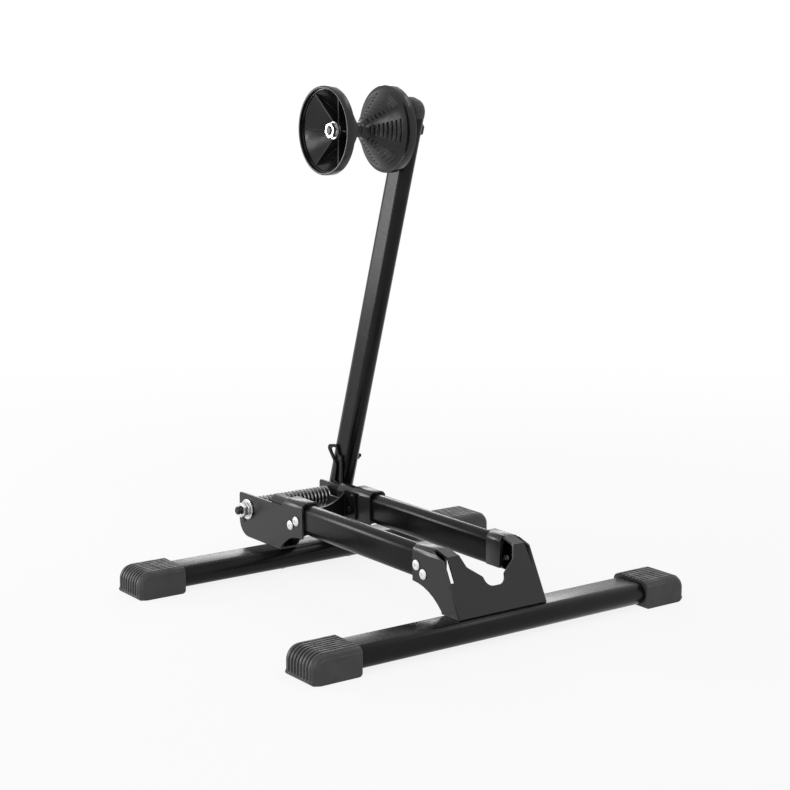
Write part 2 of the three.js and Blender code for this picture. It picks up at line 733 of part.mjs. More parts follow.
// Each leg leaves its end turn along the tangent and passes inside its pin. Seen from the left
// the wire winds towards the rear, so pushing the arm back winds the spring tighter.
function torsionSpring() {
  const endX = plateInside - springSide;
  const legOut = springRadius + wire / 2 + drivePin / 2 + fit;
  const legAlong = Math.sqrt(drivePinOut ** 2 - legOut ** 2);
  const offset = degrees(Math.atan2(legAlong, legOut));
  const start = drivePinAngle - offset;
  const sweep = 2 * offset - 360 * springTurns;
  const at = (x, angle, radius, tangent) => {
    const c = Math.cos(radians(angle));
    const s = Math.sin(radians(angle));
    return new THREE.Vector3(x, axleY + radius * c - tangent * s, axleHeight + radius * s + tangent * c);
  };
  const steps = Math.round(Math.abs(sweep) / 45);
  const coil = [];
  for (let i = 0; i <= steps; i++) {
    coil.push(at(-endX + (2 * endX * i) / steps, start + (sweep * i) / steps, springRadius, 0));
  }
  const leg = legAlong + springLeg;
  const path = [
    at(-endX, start, springRadius, leg),
    at(-endX, start, springRadius, wire),
    ...coil,
    at(endX, start + sweep, springRadius, -wire),
    at(endX, start + sweep, springRadius, -leg),
  ];
  console.log(`torsion_spring least gap ${leastGap(coil, wire, 5).toFixed(2)} mm`);
  return wireAlong(path, wire);
}

add("torsion_spring", torsionSpring(), springSteel());

// ---- Arm, in the hinge's own frame ----
function domed(base, height, turnedDown) {
  const crown = height * 0.8;
  const side = outline([
    [-armDepth / 2, base],
    [armDepth / 2, base],
    [armDepth / 2, base + height, crown],
    [-armDepth / 2, base + height, crown],
  ], 6);
  const edge = Math.min(crown, armWidth * 0.4);
  const face = outline([
    [armInside, base],
    [armOutside, base],
    [armOutside, base + height, edge],
    [armInside, base + height, edge],
  ], 6);
  const plan = alongZ(oval(armWidth, armDepth, armX, 0), base, base + height);
  const dome = join([alongX(side, armInside, armOutside)])
    .intersect(alongY(face, -armDepth / 2, armDepth / 2))
    .intersect(plan);
  return turnedDown ? dome.mirror([0, 0, 1]) : dome;
}

const plugOval = oval(armWidth - 2 * (armWall + fit), armDepth - 2 * (armWall + fit), armX, 0);
const crossHole = (radius, y, z) => barX(radius, armInside - 1, armOutside + 1, y, z);
const armHollow = oval(armWidth - 2 * armWall, armDepth - 2 * armWall, armX, 0);
const armTube = cut(alongZ(oval(armWidth, armDepth, armX, 0), -armFoot, armLength), [
  alongZ(armHollow, -armFoot - 1, armLength + 1),
  crossHole(hole(armBush), 0, 0),
  crossHole(hole(leverPin), -leverPinForward, leverPinAlong),
  crossHole(hole(axle), 0, rollerAlong),
]);
add("arm_tube", armTube, blackSteel(), hinge);

const armEnd = armLength + fit;
const plug = alongZ(plugOval, armEnd - armCapPlug, armEnd + 0.5);
add("arm_end_cap", domed(armEnd, armCapHeight, false).add(plug), blackPlastic(), hinge);
const footPlug = alongZ(plugOval, -armFoot - fit - 0.5, -armFoot - fit + armFootPlug);
add("arm_foot_cap", domed(armFoot + fit, armFootHeight, true).add(footPlug), blackPlastic(), hinge);
add("arm_bush", ring(armBush / 2, hole(axle), armInside, armOutside), zinc(), hinge);

// ---- Release lever: a flat loop with a finger end, a pivot boss and a tooth ----
const leverInside = plateOutside + 2 * fit;
const leverOutside = leverInside + leverThick;
const rim = hubRadius + 0.7;
const tooth = hubRadius - toothDepth;

function releaseLever() {
  const polar = (radius, angle) => [radius * Math.cos(radians(angle)), radius * Math.sin(radians(angle))];
  // Corners in millimetres of the real lever, which reaches 55.8 above the axle.
  const grow = leverReach / 55.8;
  const sized = (corners) => corners.map((corner) => corner.map((value) => value * grow));
  const loop = outline([
    ...sized([
      [1.4, 14.4],
      [3.1, 34.5, 6],
      [19.8, 44.9, 3],
      [18.6, 49.6, 3],
      [6.2, 55.8, 4],
      [2, 49, 6],
      [-7.4, 42.2, 6],
      [-11.9, 24, 12],
      [-17.4, 9, 6],
      [-17.4, -1.5, 3],
    ]),
    polar(tooth, 180),
    polar(tooth, 162),
    polar(rim, 161),
    ...arc(0, 0, rim, 158, 87, 8),
  ], 3);
  const strand = leverStrand;
  const gap = outline(
    sized([
      [1.4, 18.4, 1.5],
      [3.2, 35.6, 5],
      [19.8, 46.2, 1],
      [13.2, 48.9, 1],
      [7.2, 51.6, 1.2],
      [-3.6, 41, 5],
      [-8.6, 24, 10],
      [-10.6, 18.6, 1.5],
    ]).map(([a, b, radius], i) => [i < 3 ? a - strand * [1, 1, 1.6][i] : a, b, radius]),
    3,
  );
  const boss = barX(leverBoss / 2, leverInside, leverOutside, -leverPinForward, leverPinAlong, 20);
  const through = [leverInside - 1, leverOutside + 1];
  const pinHole = barX(hole(leverPin), ...through, -leverPinForward, leverPinAlong, 16);
  const body = alongX(loop, leverInside, leverOutside).subtract(alongX(gap, ...through));
  return body.add(boss).subtract(pinHole);
}

add("release_lever", releaseLever(), blackSteel(), hinge);
const onPivot = (body) => body.translate([0, -leverPinForward, leverPinAlong]);
const leverNutFace = armOutside + fit;
const leverTip = leverNutFace + leverNutHeight + leverPinEnd;
add("lever_pin", onPivot(barX(leverPin / 2, leverInside, leverTip, 0, 0, 16)), zinc(), hinge);
const pinNut = ring(hexRadius(leverNut), hole(leverPin), leverNutFace, leverNutFace + leverNutHeight, 6);
add("lever_pin_nut", onPivot(pinNut), zinc(), hinge);

// ---- Roller ----
const onRoller = (body) => body.translate([rollerOffset, 0, rollerAlong]);

// Right half: a dished cone with a rolled rim, a boss and ribs in its open back.
function rollerShell() {
  const cone = rollerHalf - rollerBand;
  const rise = (cone - rollerNeckHalf) / (rollerRadius - 3 - rollerNeck);
  const shift = rollerWall * Math.hypot(1, rise);
  const onCone = (radius) => rollerNeckHalf + (radius - rollerNeck) * rise;
  const rimInside = rollerRadius - rollerRim;
  const shell = turned([
    [fit / 2, hole(axle)],
    [fit / 2, rollerNeck],
    [rollerNeckHalf, rollerNeck],
    [cone, rollerRadius - 3],
    [cone, rollerRadius - 0.8],
    [cone + 0.8, rollerRadius],
    [rollerHalf - 0.8, rollerRadius],
    [rollerHalf, rollerRadius - 0.8],
    [rollerHalf, rimInside],
    [onCone(rimInside) + shift, rimInside],
    [onCone(rollerBoss) + shift, rollerBoss],
    [rollerBossEnd, rollerBoss],
    [rollerBossEnd, hole(axle)],
  ], 44);
  const rib = new THREE.Shape([
    new THREE.Vector2(rollerBoss - 0.5, rollerBossEnd - 1),
    new THREE.Vector2(rollerRadius - 1, rollerHalf - 3),
    new THREE.Vector2(rollerRadius - 1, onCone(rollerRadius - 2) + 1),
    new THREE.Vector2(rollerBoss - 0.5, onCone(rollerBoss) + 1),
  ]);
  const ribs = [];
  for (let i = 0; i < rollerRibs; i++) {
    const flat = extruded(rib, rollerRibThick).translate(0, 0, -rollerRibThick / 2);
    const turn = new THREE.Matrix4().makeBasis(
      new THREE.Vector3(0, 1, 0), new THREE.Vector3(1, 0, 0), new THREE.Vector3(0, 0, -1),
    );
    ribs.push(solid(flat.applyMatrix4(turn)).rotate([(360 / rollerRibs) * i + rollerRibTurn, 0, 0]));
  }
  return join([shell, ...ribs]);
}

add("roller_half_right", onRoller(rollerShell()), rollerPlastic(), hinge);
add("roller_half_left", onRoller(mirrorX(rollerShell())), rollerPlastic(), hinge);

const spacerFrom = rollerOffset + rollerBossEnd + fit;
const washerLeft = rollerOffset - rollerBossEnd - fit;
const nutLeft = washerLeft - rollerWasherThick - fit;
const stubLeft = nutLeft - rollerNutHeight - rollerStud;
const washerRight = armOutside + fit;
const nutRight = washerRight + rollerWasherThick + fit;
const stubRight = nutRight + rollerNutOutside + rollerStud;
const atRoller = (body) => body.translate([0, 0, rollerAlong]);
const nutRing = (from, to) => ring(hexRadius(rollerNut), hole(axle), from, to, 6);
const washerRing = (from, to) => ring(rollerWasher / 2, hole(axle), from, to);

add("roller_axle", atRoller(barX(axle / 2, stubLeft, stubRight, 0, 0)), zinc(), hinge);
add("roller_washer_left", atRoller(washerRing(washerLeft - rollerWasherThick, washerLeft)), zinc(), hinge);
add("roller_nut_left", atRoller(nutRing(nutLeft - rollerNutHeight, nutLeft)), zinc(), hinge);
const spacer = ring(rollerSpacer / 2, hole(axle), spacerFrom, armInside - fit);
add("roller_spacer", atRoller(spacer), blackPlastic(), hinge);
add("roller_washer_right", atRoller(washerRing(washerRight, washerRight + rollerWasherThick)), zinc(), hinge);
add("roller_nut_right", atRoller(nutRing(nutRight, nutRight + rollerNutOutside)), zinc(), hinge);

// The floor under the middle of the whole rack is the origin.
const span = new THREE.Box3().setFromObject(rack, true);
rack.position.y = -(span.min.y + span.max.y) / 2;

export default rack;
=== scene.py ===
# Floor bike rack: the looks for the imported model. Metres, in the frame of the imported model.
# X runs across the rack, the bicycle rolls in from -Y, Z is up and the floor is Z = 0.
import json
import math

import bmesh
import bpy
from mathutils import Matrix, Vector


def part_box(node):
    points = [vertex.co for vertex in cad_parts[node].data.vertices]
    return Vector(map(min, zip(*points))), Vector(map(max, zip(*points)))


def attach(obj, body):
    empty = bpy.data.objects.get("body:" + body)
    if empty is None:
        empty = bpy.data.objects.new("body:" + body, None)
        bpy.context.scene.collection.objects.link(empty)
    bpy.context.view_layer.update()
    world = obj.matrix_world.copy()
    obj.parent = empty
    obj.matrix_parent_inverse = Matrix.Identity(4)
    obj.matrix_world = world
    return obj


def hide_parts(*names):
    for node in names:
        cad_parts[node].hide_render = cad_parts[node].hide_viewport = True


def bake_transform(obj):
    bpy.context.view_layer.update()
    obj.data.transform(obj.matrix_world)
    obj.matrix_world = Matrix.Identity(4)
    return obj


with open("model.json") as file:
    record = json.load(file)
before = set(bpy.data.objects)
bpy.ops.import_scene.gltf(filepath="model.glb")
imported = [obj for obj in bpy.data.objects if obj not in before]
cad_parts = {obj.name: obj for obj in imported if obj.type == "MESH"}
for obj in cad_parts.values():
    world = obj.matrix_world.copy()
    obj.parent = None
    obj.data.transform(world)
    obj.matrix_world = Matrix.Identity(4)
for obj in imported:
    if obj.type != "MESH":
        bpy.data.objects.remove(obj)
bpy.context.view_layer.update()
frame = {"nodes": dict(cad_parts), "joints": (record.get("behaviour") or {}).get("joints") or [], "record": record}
print("stage: frame loaded,", len(frame["nodes"]), "nodes")

mm = 0.001
joints = {joint["name"]: joint for joint in frame["joints"]}
axlePoint = Vector(joints["arm_fold"]["pos_m"])
rollerPoint = Vector(joints["roller_spin"]["pos_m"])
leverPoint = Vector(joints["latch_release"]["pos_m"])
armLean = math.atan2(axlePoint.y - rollerPoint.y, rollerPoint.z - axlePoint.z)
onArm = Matrix.Translation(axlePoint) @ Matrix.Rotation(armLean, 4, "X")  # +Z runs up the arm


# Materials: patterns are laid out in Object coordinates, in metres.
def startMaterial(name):
    material = bpy.data.materials.new(name)
    material.use_nodes = True
    tree = material.node_tree
    shader = tree.nodes["Principled BSDF"]
    place = tree.nodes.new("ShaderNodeTexCoord")
    return material, tree, shader, place.outputs["Object"]


def mappedPlace(tree, place, scale):
    mapping = tree.nodes.new("ShaderNodeMapping")
    mapping.inputs["Scale"].default_value = scale
    tree.links.new(place, mapping.inputs["Vector"])
    return mapping.outputs["Vector"]


def noiseNode(tree, place, scale, detail):
    noise = tree.nodes.new("ShaderNodeTexNoise")
    noise.inputs["Scale"].default_value = scale
    noise.inputs["Detail"].default_value = detail
    tree.links.new(place, noise.inputs["Vector"])
    return noise.outputs["Fac"]


def greyRamp(tree, factor, stops, values, blues=(0, 0)):
    # from one grey to another between two values of a pattern
    ramp = tree.nodes.new("ShaderNodeValToRGB")
    for element, stop, value, blue in zip(ramp.color_ramp.elements, stops, values, blues):
        element.position = stop
        element.color = (value, value, value * (1 + blue), 1)
    tree.links.new(factor, ramp.inputs["Fac"])
    return ramp.outputs["Color"]


def bumpNode(tree, shader, height, strength, distance, below=None):
    bump = tree.nodes.new("ShaderNodeBump")
    bump.inputs["Strength"].default_value = strength
    bump.inputs["Distance"].default_value = distance
    tree.links.new(height, bump.inputs["Height"])
    if below:
        tree.links.new(below, bump.inputs["Normal"])
    tree.links.new(bump.outputs["Normal"], shader.inputs["Normal"])
    return bump.outputs["Normal"]


def mathNode(tree, operation, first, second):
    node = tree.nodes.new("ShaderNodeMath")
    node.operation = operation
    tree.links.new(first, node.inputs[0])
    tree.links.new(second, node.inputs[1])
    return node.outputs[0]


# Lightening along edges: partly wear and partly painted highlight
wearAndHighlight = {
    "edgeRadius": 0.7 * mm,
    "edgeSamples": 4,
    "edgeRange": (0.82, 0.97),
    "patch": (85, 4),
    "patchRange": (0.42, 0.66),
}


def wornAndHighlitEdges(tree, place, color, wornAndHighlit):
    # partly rubbed wear and partly painted highlight: a little lighter in patches along edges, found where a
    # softened normal leaves the true one
    shape = tree.nodes.new("ShaderNodeNewGeometry")
    softened = tree.nodes.new("ShaderNodeBevel")
    softened.samples = wearAndHighlight["edgeSamples"]
    softened.inputs["Radius"].default_value = wearAndHighlight["edgeRadius"]
    same = tree.nodes.new("ShaderNodeVectorMath")
    same.operation = "DOT_PRODUCT"
    tree.links.new(shape.outputs["Normal"], same.inputs[0])
    tree.links.new(softened.outputs["Normal"], same.inputs[1])
    edge = greyRamp(tree, same.outputs["Value"], wearAndHighlight["edgeRange"], (1, 0))
    patch = greyRamp(tree, noiseNode(tree, place, *wearAndHighlight["patch"]), wearAndHighlight["patchRange"], (0, 1))
    mix = tree.nodes.new("ShaderNodeMix")
    mix.data_type = "RGBA"
    tree.links.new(mathNode(tree, "MULTIPLY", edge, patch), mix.inputs[0])
    tree.links.new(color, mix.inputs[6])
    mix.inputs[7].default_value = (wornAndHighlit, wornAndHighlit, wornAndHighlit, 1)
    return mix.outputs[2]


# Pattern entries are (noise scale, detail), ranges run over the noise, spreads are added to "rough".
# Each finish's edge grey is partly wear and partly painted highlight
finishes = {
    "powderCoat": {
        "dark": 0.004, "light": 0.008, "wornAndHighlit": 0.08, "rough": 0.25, "shine": 0.17, "peel": 0.006,
    },
    # a lighter copy of the powder coat for the brackets: painted sheen where they catch the light
    "litBracketCoat": {
        "dark": 0.0105, "light": 0.0125, "wornAndHighlit": 0.22, "rough": 0.30, "shine": 0.4, "peel": 0.008,
    },
    "footPlastic": {
        "dark": 0.034, "light": 0.048, "wornAndHighlit": 0.10, "rough": 0.50, "shine": 0.40, "grain": 0.06,
    },
    "rollerPlastic": {
        "dark": 0.005, "light": 0.010, "wornAndHighlit": 0.14, "rough": 0.22, "shine": 0.36, "grain": 0.06,
    },
    "springSteel": {"dark": 0.14, "light": 0.30, "rough": 0.18, "metallic": 0.75},
    "darkBolt": {"dark": 0.014, "light": 0.030, "rough": 0.34, "metallic": 0.5},
    "zincPlate": {"dark": 0.60, "light": 0.84, "rough": 0.22, "metallic": 1.0},
    "brightRivet": {"dark": 0.84, "light": 0.96, "rough": 0.34, "metallic": 0.25},
}
paint = {
    "cloud": (28, 4), "cloudRange": (0.35, 0.7), "blues": (0.03, 0.04),
    "dust": (190, 5), "dustRange": (0.3, 0.75), "roughSpread": (-0.02, 0.03),
    "wave": (420, 2), "waveDepth": 0.2 * mm,
    "grit": (1900, 2), "gritDepth": 0.06 * mm, "gritShare": 0.6,
}
plastic = {
    "cloud": (55, 4), "cloudRange": (0.3, 0.72), "blues": (0.02, 0.03),
    "rub": (120, 6), "rubRange": (0.35, 0.7), "roughSpread": (-0.07, 0.1),
    "grainScale": 1500, "grainDepth": 0.12 * mm,
    "wave": (260, 3), "waveStrength": 0.12, "waveDepth": 0.3 * mm,
}
metal = {
    "cloud": (240, 5), "cloudRange": (0.3, 0.7), "blues": (0.02, 0.02),
    "brush": (900, 4), "brushStretch": (0.15, 1, 1), "brushRange": (0.3, 0.75), "roughSpread": (-0.06, 0.12),
    "brushStrength": 0.12, "brushDepth": 0.08 * mm,
}


def cloudyColor(tree, place, look, pattern):
    cloud = noiseNode(tree, place, *pattern["cloud"])
    return greyRamp(tree, cloud, pattern["cloudRange"], (look["dark"], look["light"]), pattern["blues"])


def spreadRoughness(tree, shader, factor, stops, look, pattern):
    rough = greyRamp(tree, factor, stops, [look["rough"] + spread for spread in pattern["roughSpread"]])
    tree.links.new(rough, shader.inputs["Roughness"])


def paintedSteel(name):
    look = finishes[name]
    material, tree, shader, place = startMaterial(name)
    color = cloudyColor(tree, place, look, paint)
    # base colour with a painted highlight along its edges, partly wear
    tree.links.new(wornAndHighlitEdges(tree, place, color, look["wornAndHighlit"]), shader.inputs["Base Color"])
    shader.inputs["Specular IOR Level"].default_value = look["shine"]
    dust = noiseNode(tree, place, *paint["dust"])
    spreadRoughness(tree, shader, dust, paint["dustRange"], look, paint)
    wave = bumpNode(tree, shader, noiseNode(tree, place, *paint["wave"]), look["peel"], paint["waveDepth"])
    bumpNode(tree, shader, noiseNode(tree, place, *paint["grit"]), look["peel"] * paint["gritShare"],
             paint["gritDepth"], wave)
    return material


def mouldedPlastic(name):
    look = finishes[name]
    material, tree, shader, place = startMaterial(name)
    color = cloudyColor(tree, place, look, plastic)
    # base colour with a painted highlight along its edges, partly wear
    tree.links.new(wornAndHighlitEdges(tree, place, color, look["wornAndHighlit"]), shader.inputs["Base Color"])
    shader.inputs["Specular IOR Level"].default_value = look["shine"]
    rub = noiseNode(tree, place, *plastic["rub"])
    spreadRoughness(tree, shader, rub, plastic["rubRange"], look, plastic)
    grain = tree.nodes.new("ShaderNodeTexVoronoi")
    grain.inputs["Scale"].default_value = plastic["grainScale"]
    tree.links.new(place, grain.inputs["Vector"])
    below = bumpNode(tree, shader, grain.outputs["Distance"], look["grain"], plastic["grainDepth"])
    bumpNode(tree, shader, noiseNode(tree, place, *plastic["wave"]), plastic["waveStrength"],
             plastic["waveDepth"], below)
    return material


def plainMetal(name):
    look = finishes[name]
    material, tree, shader, place = startMaterial(name)
    shader.inputs["Metallic"].default_value = look["metallic"]
    tree.links.new(cloudyColor(tree, place, look, metal), shader.inputs["Base Color"])
    brushed = noiseNode(tree, mappedPlace(tree, place, metal["brushStretch"]), *metal["brush"])
    spreadRoughness(tree, shader, brushed, metal["brushRange"], look, metal)
    bumpNode(tree, shader, brushed, metal["brushStrength"], metal["brushDepth"])
    return material


materials = {
    "powderCoat": paintedSteel("powderCoat"),
    # lighter copy of the powder coat, painted sheen on the brackets
    "litBracketCoat": paintedSteel("litBracketCoat"),
    "footPlastic": mouldedPlastic("footPlastic"),
    "rollerPlastic": mouldedPlastic("rollerPlastic"),
    "springSteel": plainMetal("springSteel"),
    "darkBolt": plainMetal("darkBolt"),
    "zincPlate": plainMetal("zincPlate"),
    "brightRivet": plainMetal("brightRivet"),
}
slotFinish = {
    "powder_coat": "powderCoat",
    "cap_plastic": "footPlastic",
    "roller_plastic": "rollerPlastic",
    "spring_wire": "springSteel",
    "rivet": "brightRivet",
    "zinc": "zincPlate",
}
nodeSlot = {part["node"]: part["material_slot"] for part in frame["record"]["subparts"]}
nodeBody = {node: body for body, group in frame["record"]["behaviour"]["bodies"].items() for node in group}
print("stage: materials")


# Building blocks, with the limits by which they tell doubles, corners, bends and flat walls
limits = {
    "merge": 1e-6,
    "nodeMerge": 2e-6,
    "flatAngle": math.radians(1.0),
    "bendAngle": 0.6,
    "rimAngle": 1.0,
    "rimLevel": 1e-7,
    "wallEdge": 4 * mm,
    "wallAngle": 0.01,
}


def newObject(name, data):
    thing = bpy.data.objects.new(name, data)
    bpy.context.scene.collection.objects.link(thing)
    return thing


def shownMesh(name, bm, smoothAngle, finish):
    # a bmesh as an object of the scene, smooth apart from its sharp edges
    mesh = bpy.data.meshes.new(name)
    bm.to_mesh(mesh)
    bm.free()
    if "custom_normal" in mesh.attributes:
        mesh.attributes.remove(mesh.attributes["custom_normal"])  # left over from the CAD copy
    mesh.set_sharp_from_angle(angle=math.radians(smoothAngle))
    mesh.materials.append(materials[finish])
    return newObject(name, mesh)


def partOfWall(face):
    # a face with many corners, or with a long edge that it shares with a face in its own plane
    if len(face.verts) > 4:
        return True
    return any(edge.is_manifold and edge.calc_length() > limits["wallEdge"]
               and edge.calc_face_angle(0) < limits["wallAngle"] for edge in face.edges)


def addPiece(name, bm, nodes, smoothAngle, finish=None):
    # a finished mesh that replaces its CAD nodes and rides on their body
    bmesh.ops.remove_doubles(bm, verts=bm.verts, dist=limits["merge"])
    bmesh.ops.recalc_face_normals(bm, faces=bm.faces)
    rounded = [not partOfWall(face) for face in bm.faces]
    slot = nodeSlot[nodes[0]]
    piece = shownMesh(name, bm, smoothAngle, finish or slotFinish[slot])
    piece.data.polygons.foreach_set("use_smooth", rounded)
    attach(piece, nodeBody[nodes[0]])
    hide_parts(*nodes)


def bevelEdges(bm, edges, offset, segments=2):
    bmesh.ops.bevel(bm, geom=edges, offset=offset, segments=segments, profile=0.5, affect="EDGES",
                    clamp_overlap=True, material=-1)


def extrudedFace(bm, face):
    made = bmesh.ops.extrude_face_region(bm, geom=[face])
    return next(item for item in made["geom"] if isinstance(item, bmesh.types.BMFace))


def ovalEdges(bm, wide, high, segments):
    # a circle whose halves are pulled apart into a flat oval
    turn = Matrix.Rotation(math.pi / segments, 4, "Z")
    made = bmesh.ops.create_circle(bm, cap_ends=False, radius=min(wide, high) / 2, segments=segments,
                                   matrix=turn)
    for vert in made["verts"]:
        if wide > high:
            vert.co.x += math.copysign((wide - high) / 2, vert.co.x)
        else:
            vert.co.y += math.copysign((high - wide) / 2, vert.co.y)
    return list({edge for vert in made["verts"] for edge in vert.link_edges})


def spun(profile, steps):
    # a profile of (distance along X, radius) turned round the X axis
    bm = bmesh.new()
    verts = [bm.verts.new((x, 0, radius)) for x, radius in profile]
    edges = [bm.edges.new(pair) for pair in zip(verts, verts[1:])]
    if profile[0][1] > 0 and profile[-1][1] > 0:
        edges.append(bm.edges.new((verts[-1], verts[0])))
    bmesh.ops.spin(bm, geom=verts + edges, cent=(0, 0, 0), axis=(1, 0, 0), angle=2 * math.pi,
                   steps=steps, use_merge=True)
    bmesh.ops.remove_doubles(bm, verts=bm.verts, dist=limits["merge"])
    return bm


def fromNode(node, edge, sharp=40, bends=None, bendRadius=0.0):
    # a merged copy of a CAD node with its edges broken and its bends rounded
    bm = bmesh.new()
    bm.from_mesh(frame["nodes"][node].data)
    bmesh.ops.remove_doubles(bm, verts=bm.verts, dist=limits["nodeMerge"])
    bmesh.ops.dissolve_limit(bm, angle_limit=limits["flatAngle"], verts=bm.verts, edges=bm.edges)
    if bends:
        chosen = [e for e in bm.edges
                  if e.is_manifold and e.calc_face_angle(0) > limits["bendAngle"] and bends(e)]
        bevelEdges(bm, chosen, bendRadius, 4)
    corners = [e for e in bm.edges if e.is_manifold and e.calc_face_angle(0) > math.radians(sharp)]
    bevelEdges(bm, corners, edge)
    return bm


def joinInto(target, extra):
    # adds one bmesh to another
    mesh = bpy.data.meshes.new("scratch")
    extra.to_mesh(mesh)
    extra.free()
    target.from_mesh(mesh)
    bpy.data.meshes.remove(mesh)


def threadProfile(radius, start, end, pitch, depth):
    # zigzag from start to end, for a spun stud
    points = []
    count = int((end - start) / pitch)
    for turn in range(count):
        x = start + (end - start) * turn / count
        half = (end - start) / count / 2
        points += [(x, radius), (x + half, radius - depth)]
    return points + [(end, radius)]


# Floor tubes and rails
tubes = {
    "wall": 1.5 * mm,
    "endRound": 0.3 * mm,
    "steps": 56,
    "smooth": 24,
    "runsAlong": {"front_floor_tube": "X", "rear_floor_tube": "X", "rail_left": "Y", "rail_right": "Y"},
}
turnToX = Matrix.Rotation(math.pi / 2, 4, "Y")
turnToY = Matrix.Rotation(-math.pi / 2, 4, "X")


def ovalTube(wide, high, length):
    # a flat-oval tube from z = 0 up, open at both ends
    bm = bmesh.new()
    outer = ovalEdges(bm, wide, high, tubes["steps"])
    inner = ovalEdges(bm, wide - 2 * tubes["wall"], high - 2 * tubes["wall"], tubes["steps"])
    ring = bmesh.ops.bridge_loops(bm, edges=outer + inner)["faces"]
    made = bmesh.ops.extrude_face_region(bm, geom=ring)
    top = [item for item in made["geom"] if isinstance(item, bmesh.types.BMVert)]
    bmesh.ops.translate(bm, vec=(0, 0, length), verts=top)
    rims = [edge for edge in bm.edges
            if abs(edge.verts[0].co.z - edge.verts[1].co.z) < limits["rimLevel"]
            and edge.calc_face_angle(0) > limits["rimAngle"]]
    bmesh.ops.bevel(bm, geom=rims, offset=tubes["endRound"], segments=2, profile=0.5, affect="EDGES",
                    material=-1)
    return bm


def buildTube(node, along):
    low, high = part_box(node)
    size = high - low
    middle = (low + high) / 2
    if along == "X":
        bm = ovalTube(size.z, size.y, size.x)
        bmesh.ops.transform(bm, matrix=turnToX, verts=bm.verts)
        bmesh.ops.translate(bm, vec=(low.x, middle.y, middle.z), verts=bm.verts)
    else:
        bm = ovalTube(size.x, size.z, size.y)
        bmesh.ops.transform(bm, matrix=turnToY, verts=bm.verts)
        bmesh.ops.translate(bm, vec=(middle.x, low.y, middle.z), verts=bm.verts)
    addPiece(node + ".tube", bm, [node], tubes["smooth"])


for node, along in tubes["runsAlong"].items():
    buildTube(node, along)
print("stage: tubes")


# Foot caps: sections across the depth, each the side view with its top and nose drawn in
footCap = {
    "ribs": 8,
    "ribbedWidth": 33 * mm,
    "grooveDepth": 1.3 * mm,
    "grooveSlope": 0.35 * mm,
    "noseRound": 13 * mm,
    "toeRound": 3 * mm,
    "heelRound": 3.2 * mm,
    "mouthDrop": 0.6 * mm,
    "noseLevels": (3.6 * mm, 4.4 * mm, 5.2 * mm, 8.0 * mm),
    "topShares": (0.35, 0.7, 0.97),
    "shoulder": 5 * mm,
    "shoulderFrom": 0.3 * mm,
    "lip": 0.45 * mm,
    "lipFrom": 0.25 * mm,
    "fadeFrom": 3.0 * mm,
    "fadeTo": 5.0 * mm,
    "smooth": 38,
}


def capProfile(inner, outer, height):
    # side view as (x, z, inward x, inward z, how far it follows the ribs)
    nose, toe, heel = footCap["noseRound"], footCap["toeRound"], footCap["heelRound"]
    points = [(inner + heel, 0, 0, 1, 0), (outer - toe, 0, -1, 0, 1)]
    for step in range(1, 5):
        turn = math.radians(-90 + 90 * step / 4)
        points.append((outer - toe + toe * math.cos(turn), toe + toe * math.sin(turn), -1, 0, 1))
    for z in footCap["noseLevels"]:
        points.append((outer, z, -1, 0, 1))
    for step in range(13):
        turn = math.radians(90 * step / 12)
        x = outer - nose + nose * math.cos(turn)
        z = height - nose + nose * math.sin(turn)
        points.append((x, z, -math.cos(turn), -math.sin(turn), 1))
    for share in footCap["topShares"]:
        x = outer - nose + (inner - outer + nose) * share
        points.append((x, height, 0, -1, 1))
    points += [(inner, height - footCap["mouthDrop"], 0, -1, 1), (inner, heel, 0, 0, 0)]
    for step in range(1, 4):
        turn = math.radians(180 + 90 * step / 4)
        points.append((inner + heel + heel * math.cos(turn), heel + heel * math.sin(turn), 0, 0, 0))
    return points


def capSections(half):
    # places across the depth, each with how far the top and nose are drawn in
    shoulder = footCap["shoulder"]
    band = footCap["ribbedWidth"] / 2
    pitch = footCap["ribbedWidth"] / (footCap["ribs"] * 2 - 1)
    side = []
    for step in range(7):
        turn = math.radians(90 * step / 6)
        across = half - shoulder + shoulder * math.cos(turn)
        if across > band + footCap["shoulderFrom"]:
            side.append((across, shoulder * (1 - math.sin(turn)) + footCap["lip"]))
    side.append((band + footCap["lipFrom"], footCap["lip"]))
    places = [(-across, inset) for across, inset in side]
    for rib in range(footCap["ribs"]):
        left = -band + 2 * pitch * rib
        right = left + pitch
        places += [(left, 0), (right, 0)]
        if rib < footCap["ribs"] - 1:
            places.append((right + footCap["grooveSlope"], footCap["grooveDepth"]))
            places.append((right + pitch - footCap["grooveSlope"], footCap["grooveDepth"]))
    return places + [(across, inset) for across, inset in reversed(side)]


def buildFootCap(node, mirror):
    # drawn on the right, where the nose points to +X, and mirrored for the left
    low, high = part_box(node.replace("_left", "_right"))
    middle = (low.y + high.y) / 2
    profile = capProfile(low.x, high.x, high.z)
    places = capSections((high.y - low.y) / 2)

    def sectionPoint(point, across, inset):
        x, z, inX, inZ, follow = point
        fade = min(1, max(0, (z - footCap["fadeFrom"]) / (footCap["fadeTo"] - footCap["fadeFrom"])))
        if inset > footCap["grooveDepth"] or inset == footCap["lip"]:
            fade = 1  # shoulders are drawn in all the way down
        amount = inset * follow * fade
        return Vector((x + inX * amount, middle + across, z + inZ * amount))

    bm = bmesh.new()
    verts = [bm.verts.new(sectionPoint(point, *places[0])) for point in profile]
    face = bm.faces.new(verts)
    for across, inset in places[1:]:
        face = extrudedFace(bm, face)
        ordered = [min(face.verts, key=lambda vert: (vert.co - old.co).length) for old in verts]
        for vert, point in zip(ordered, profile):
            vert.co = sectionPoint(point, across, inset)
        verts = ordered
    if mirror:
        bmesh.ops.scale(bm, vec=(-1, 1, 1), verts=bm.verts)
    addPiece(node + ".moulded", bm, [node], footCap["smooth"])


for end in ("front", "rear"):
    for side in ("left", "right"):
        buildFootCap(f"{end}_foot_cap_{side}", side == "left")
print("stage: foot caps")


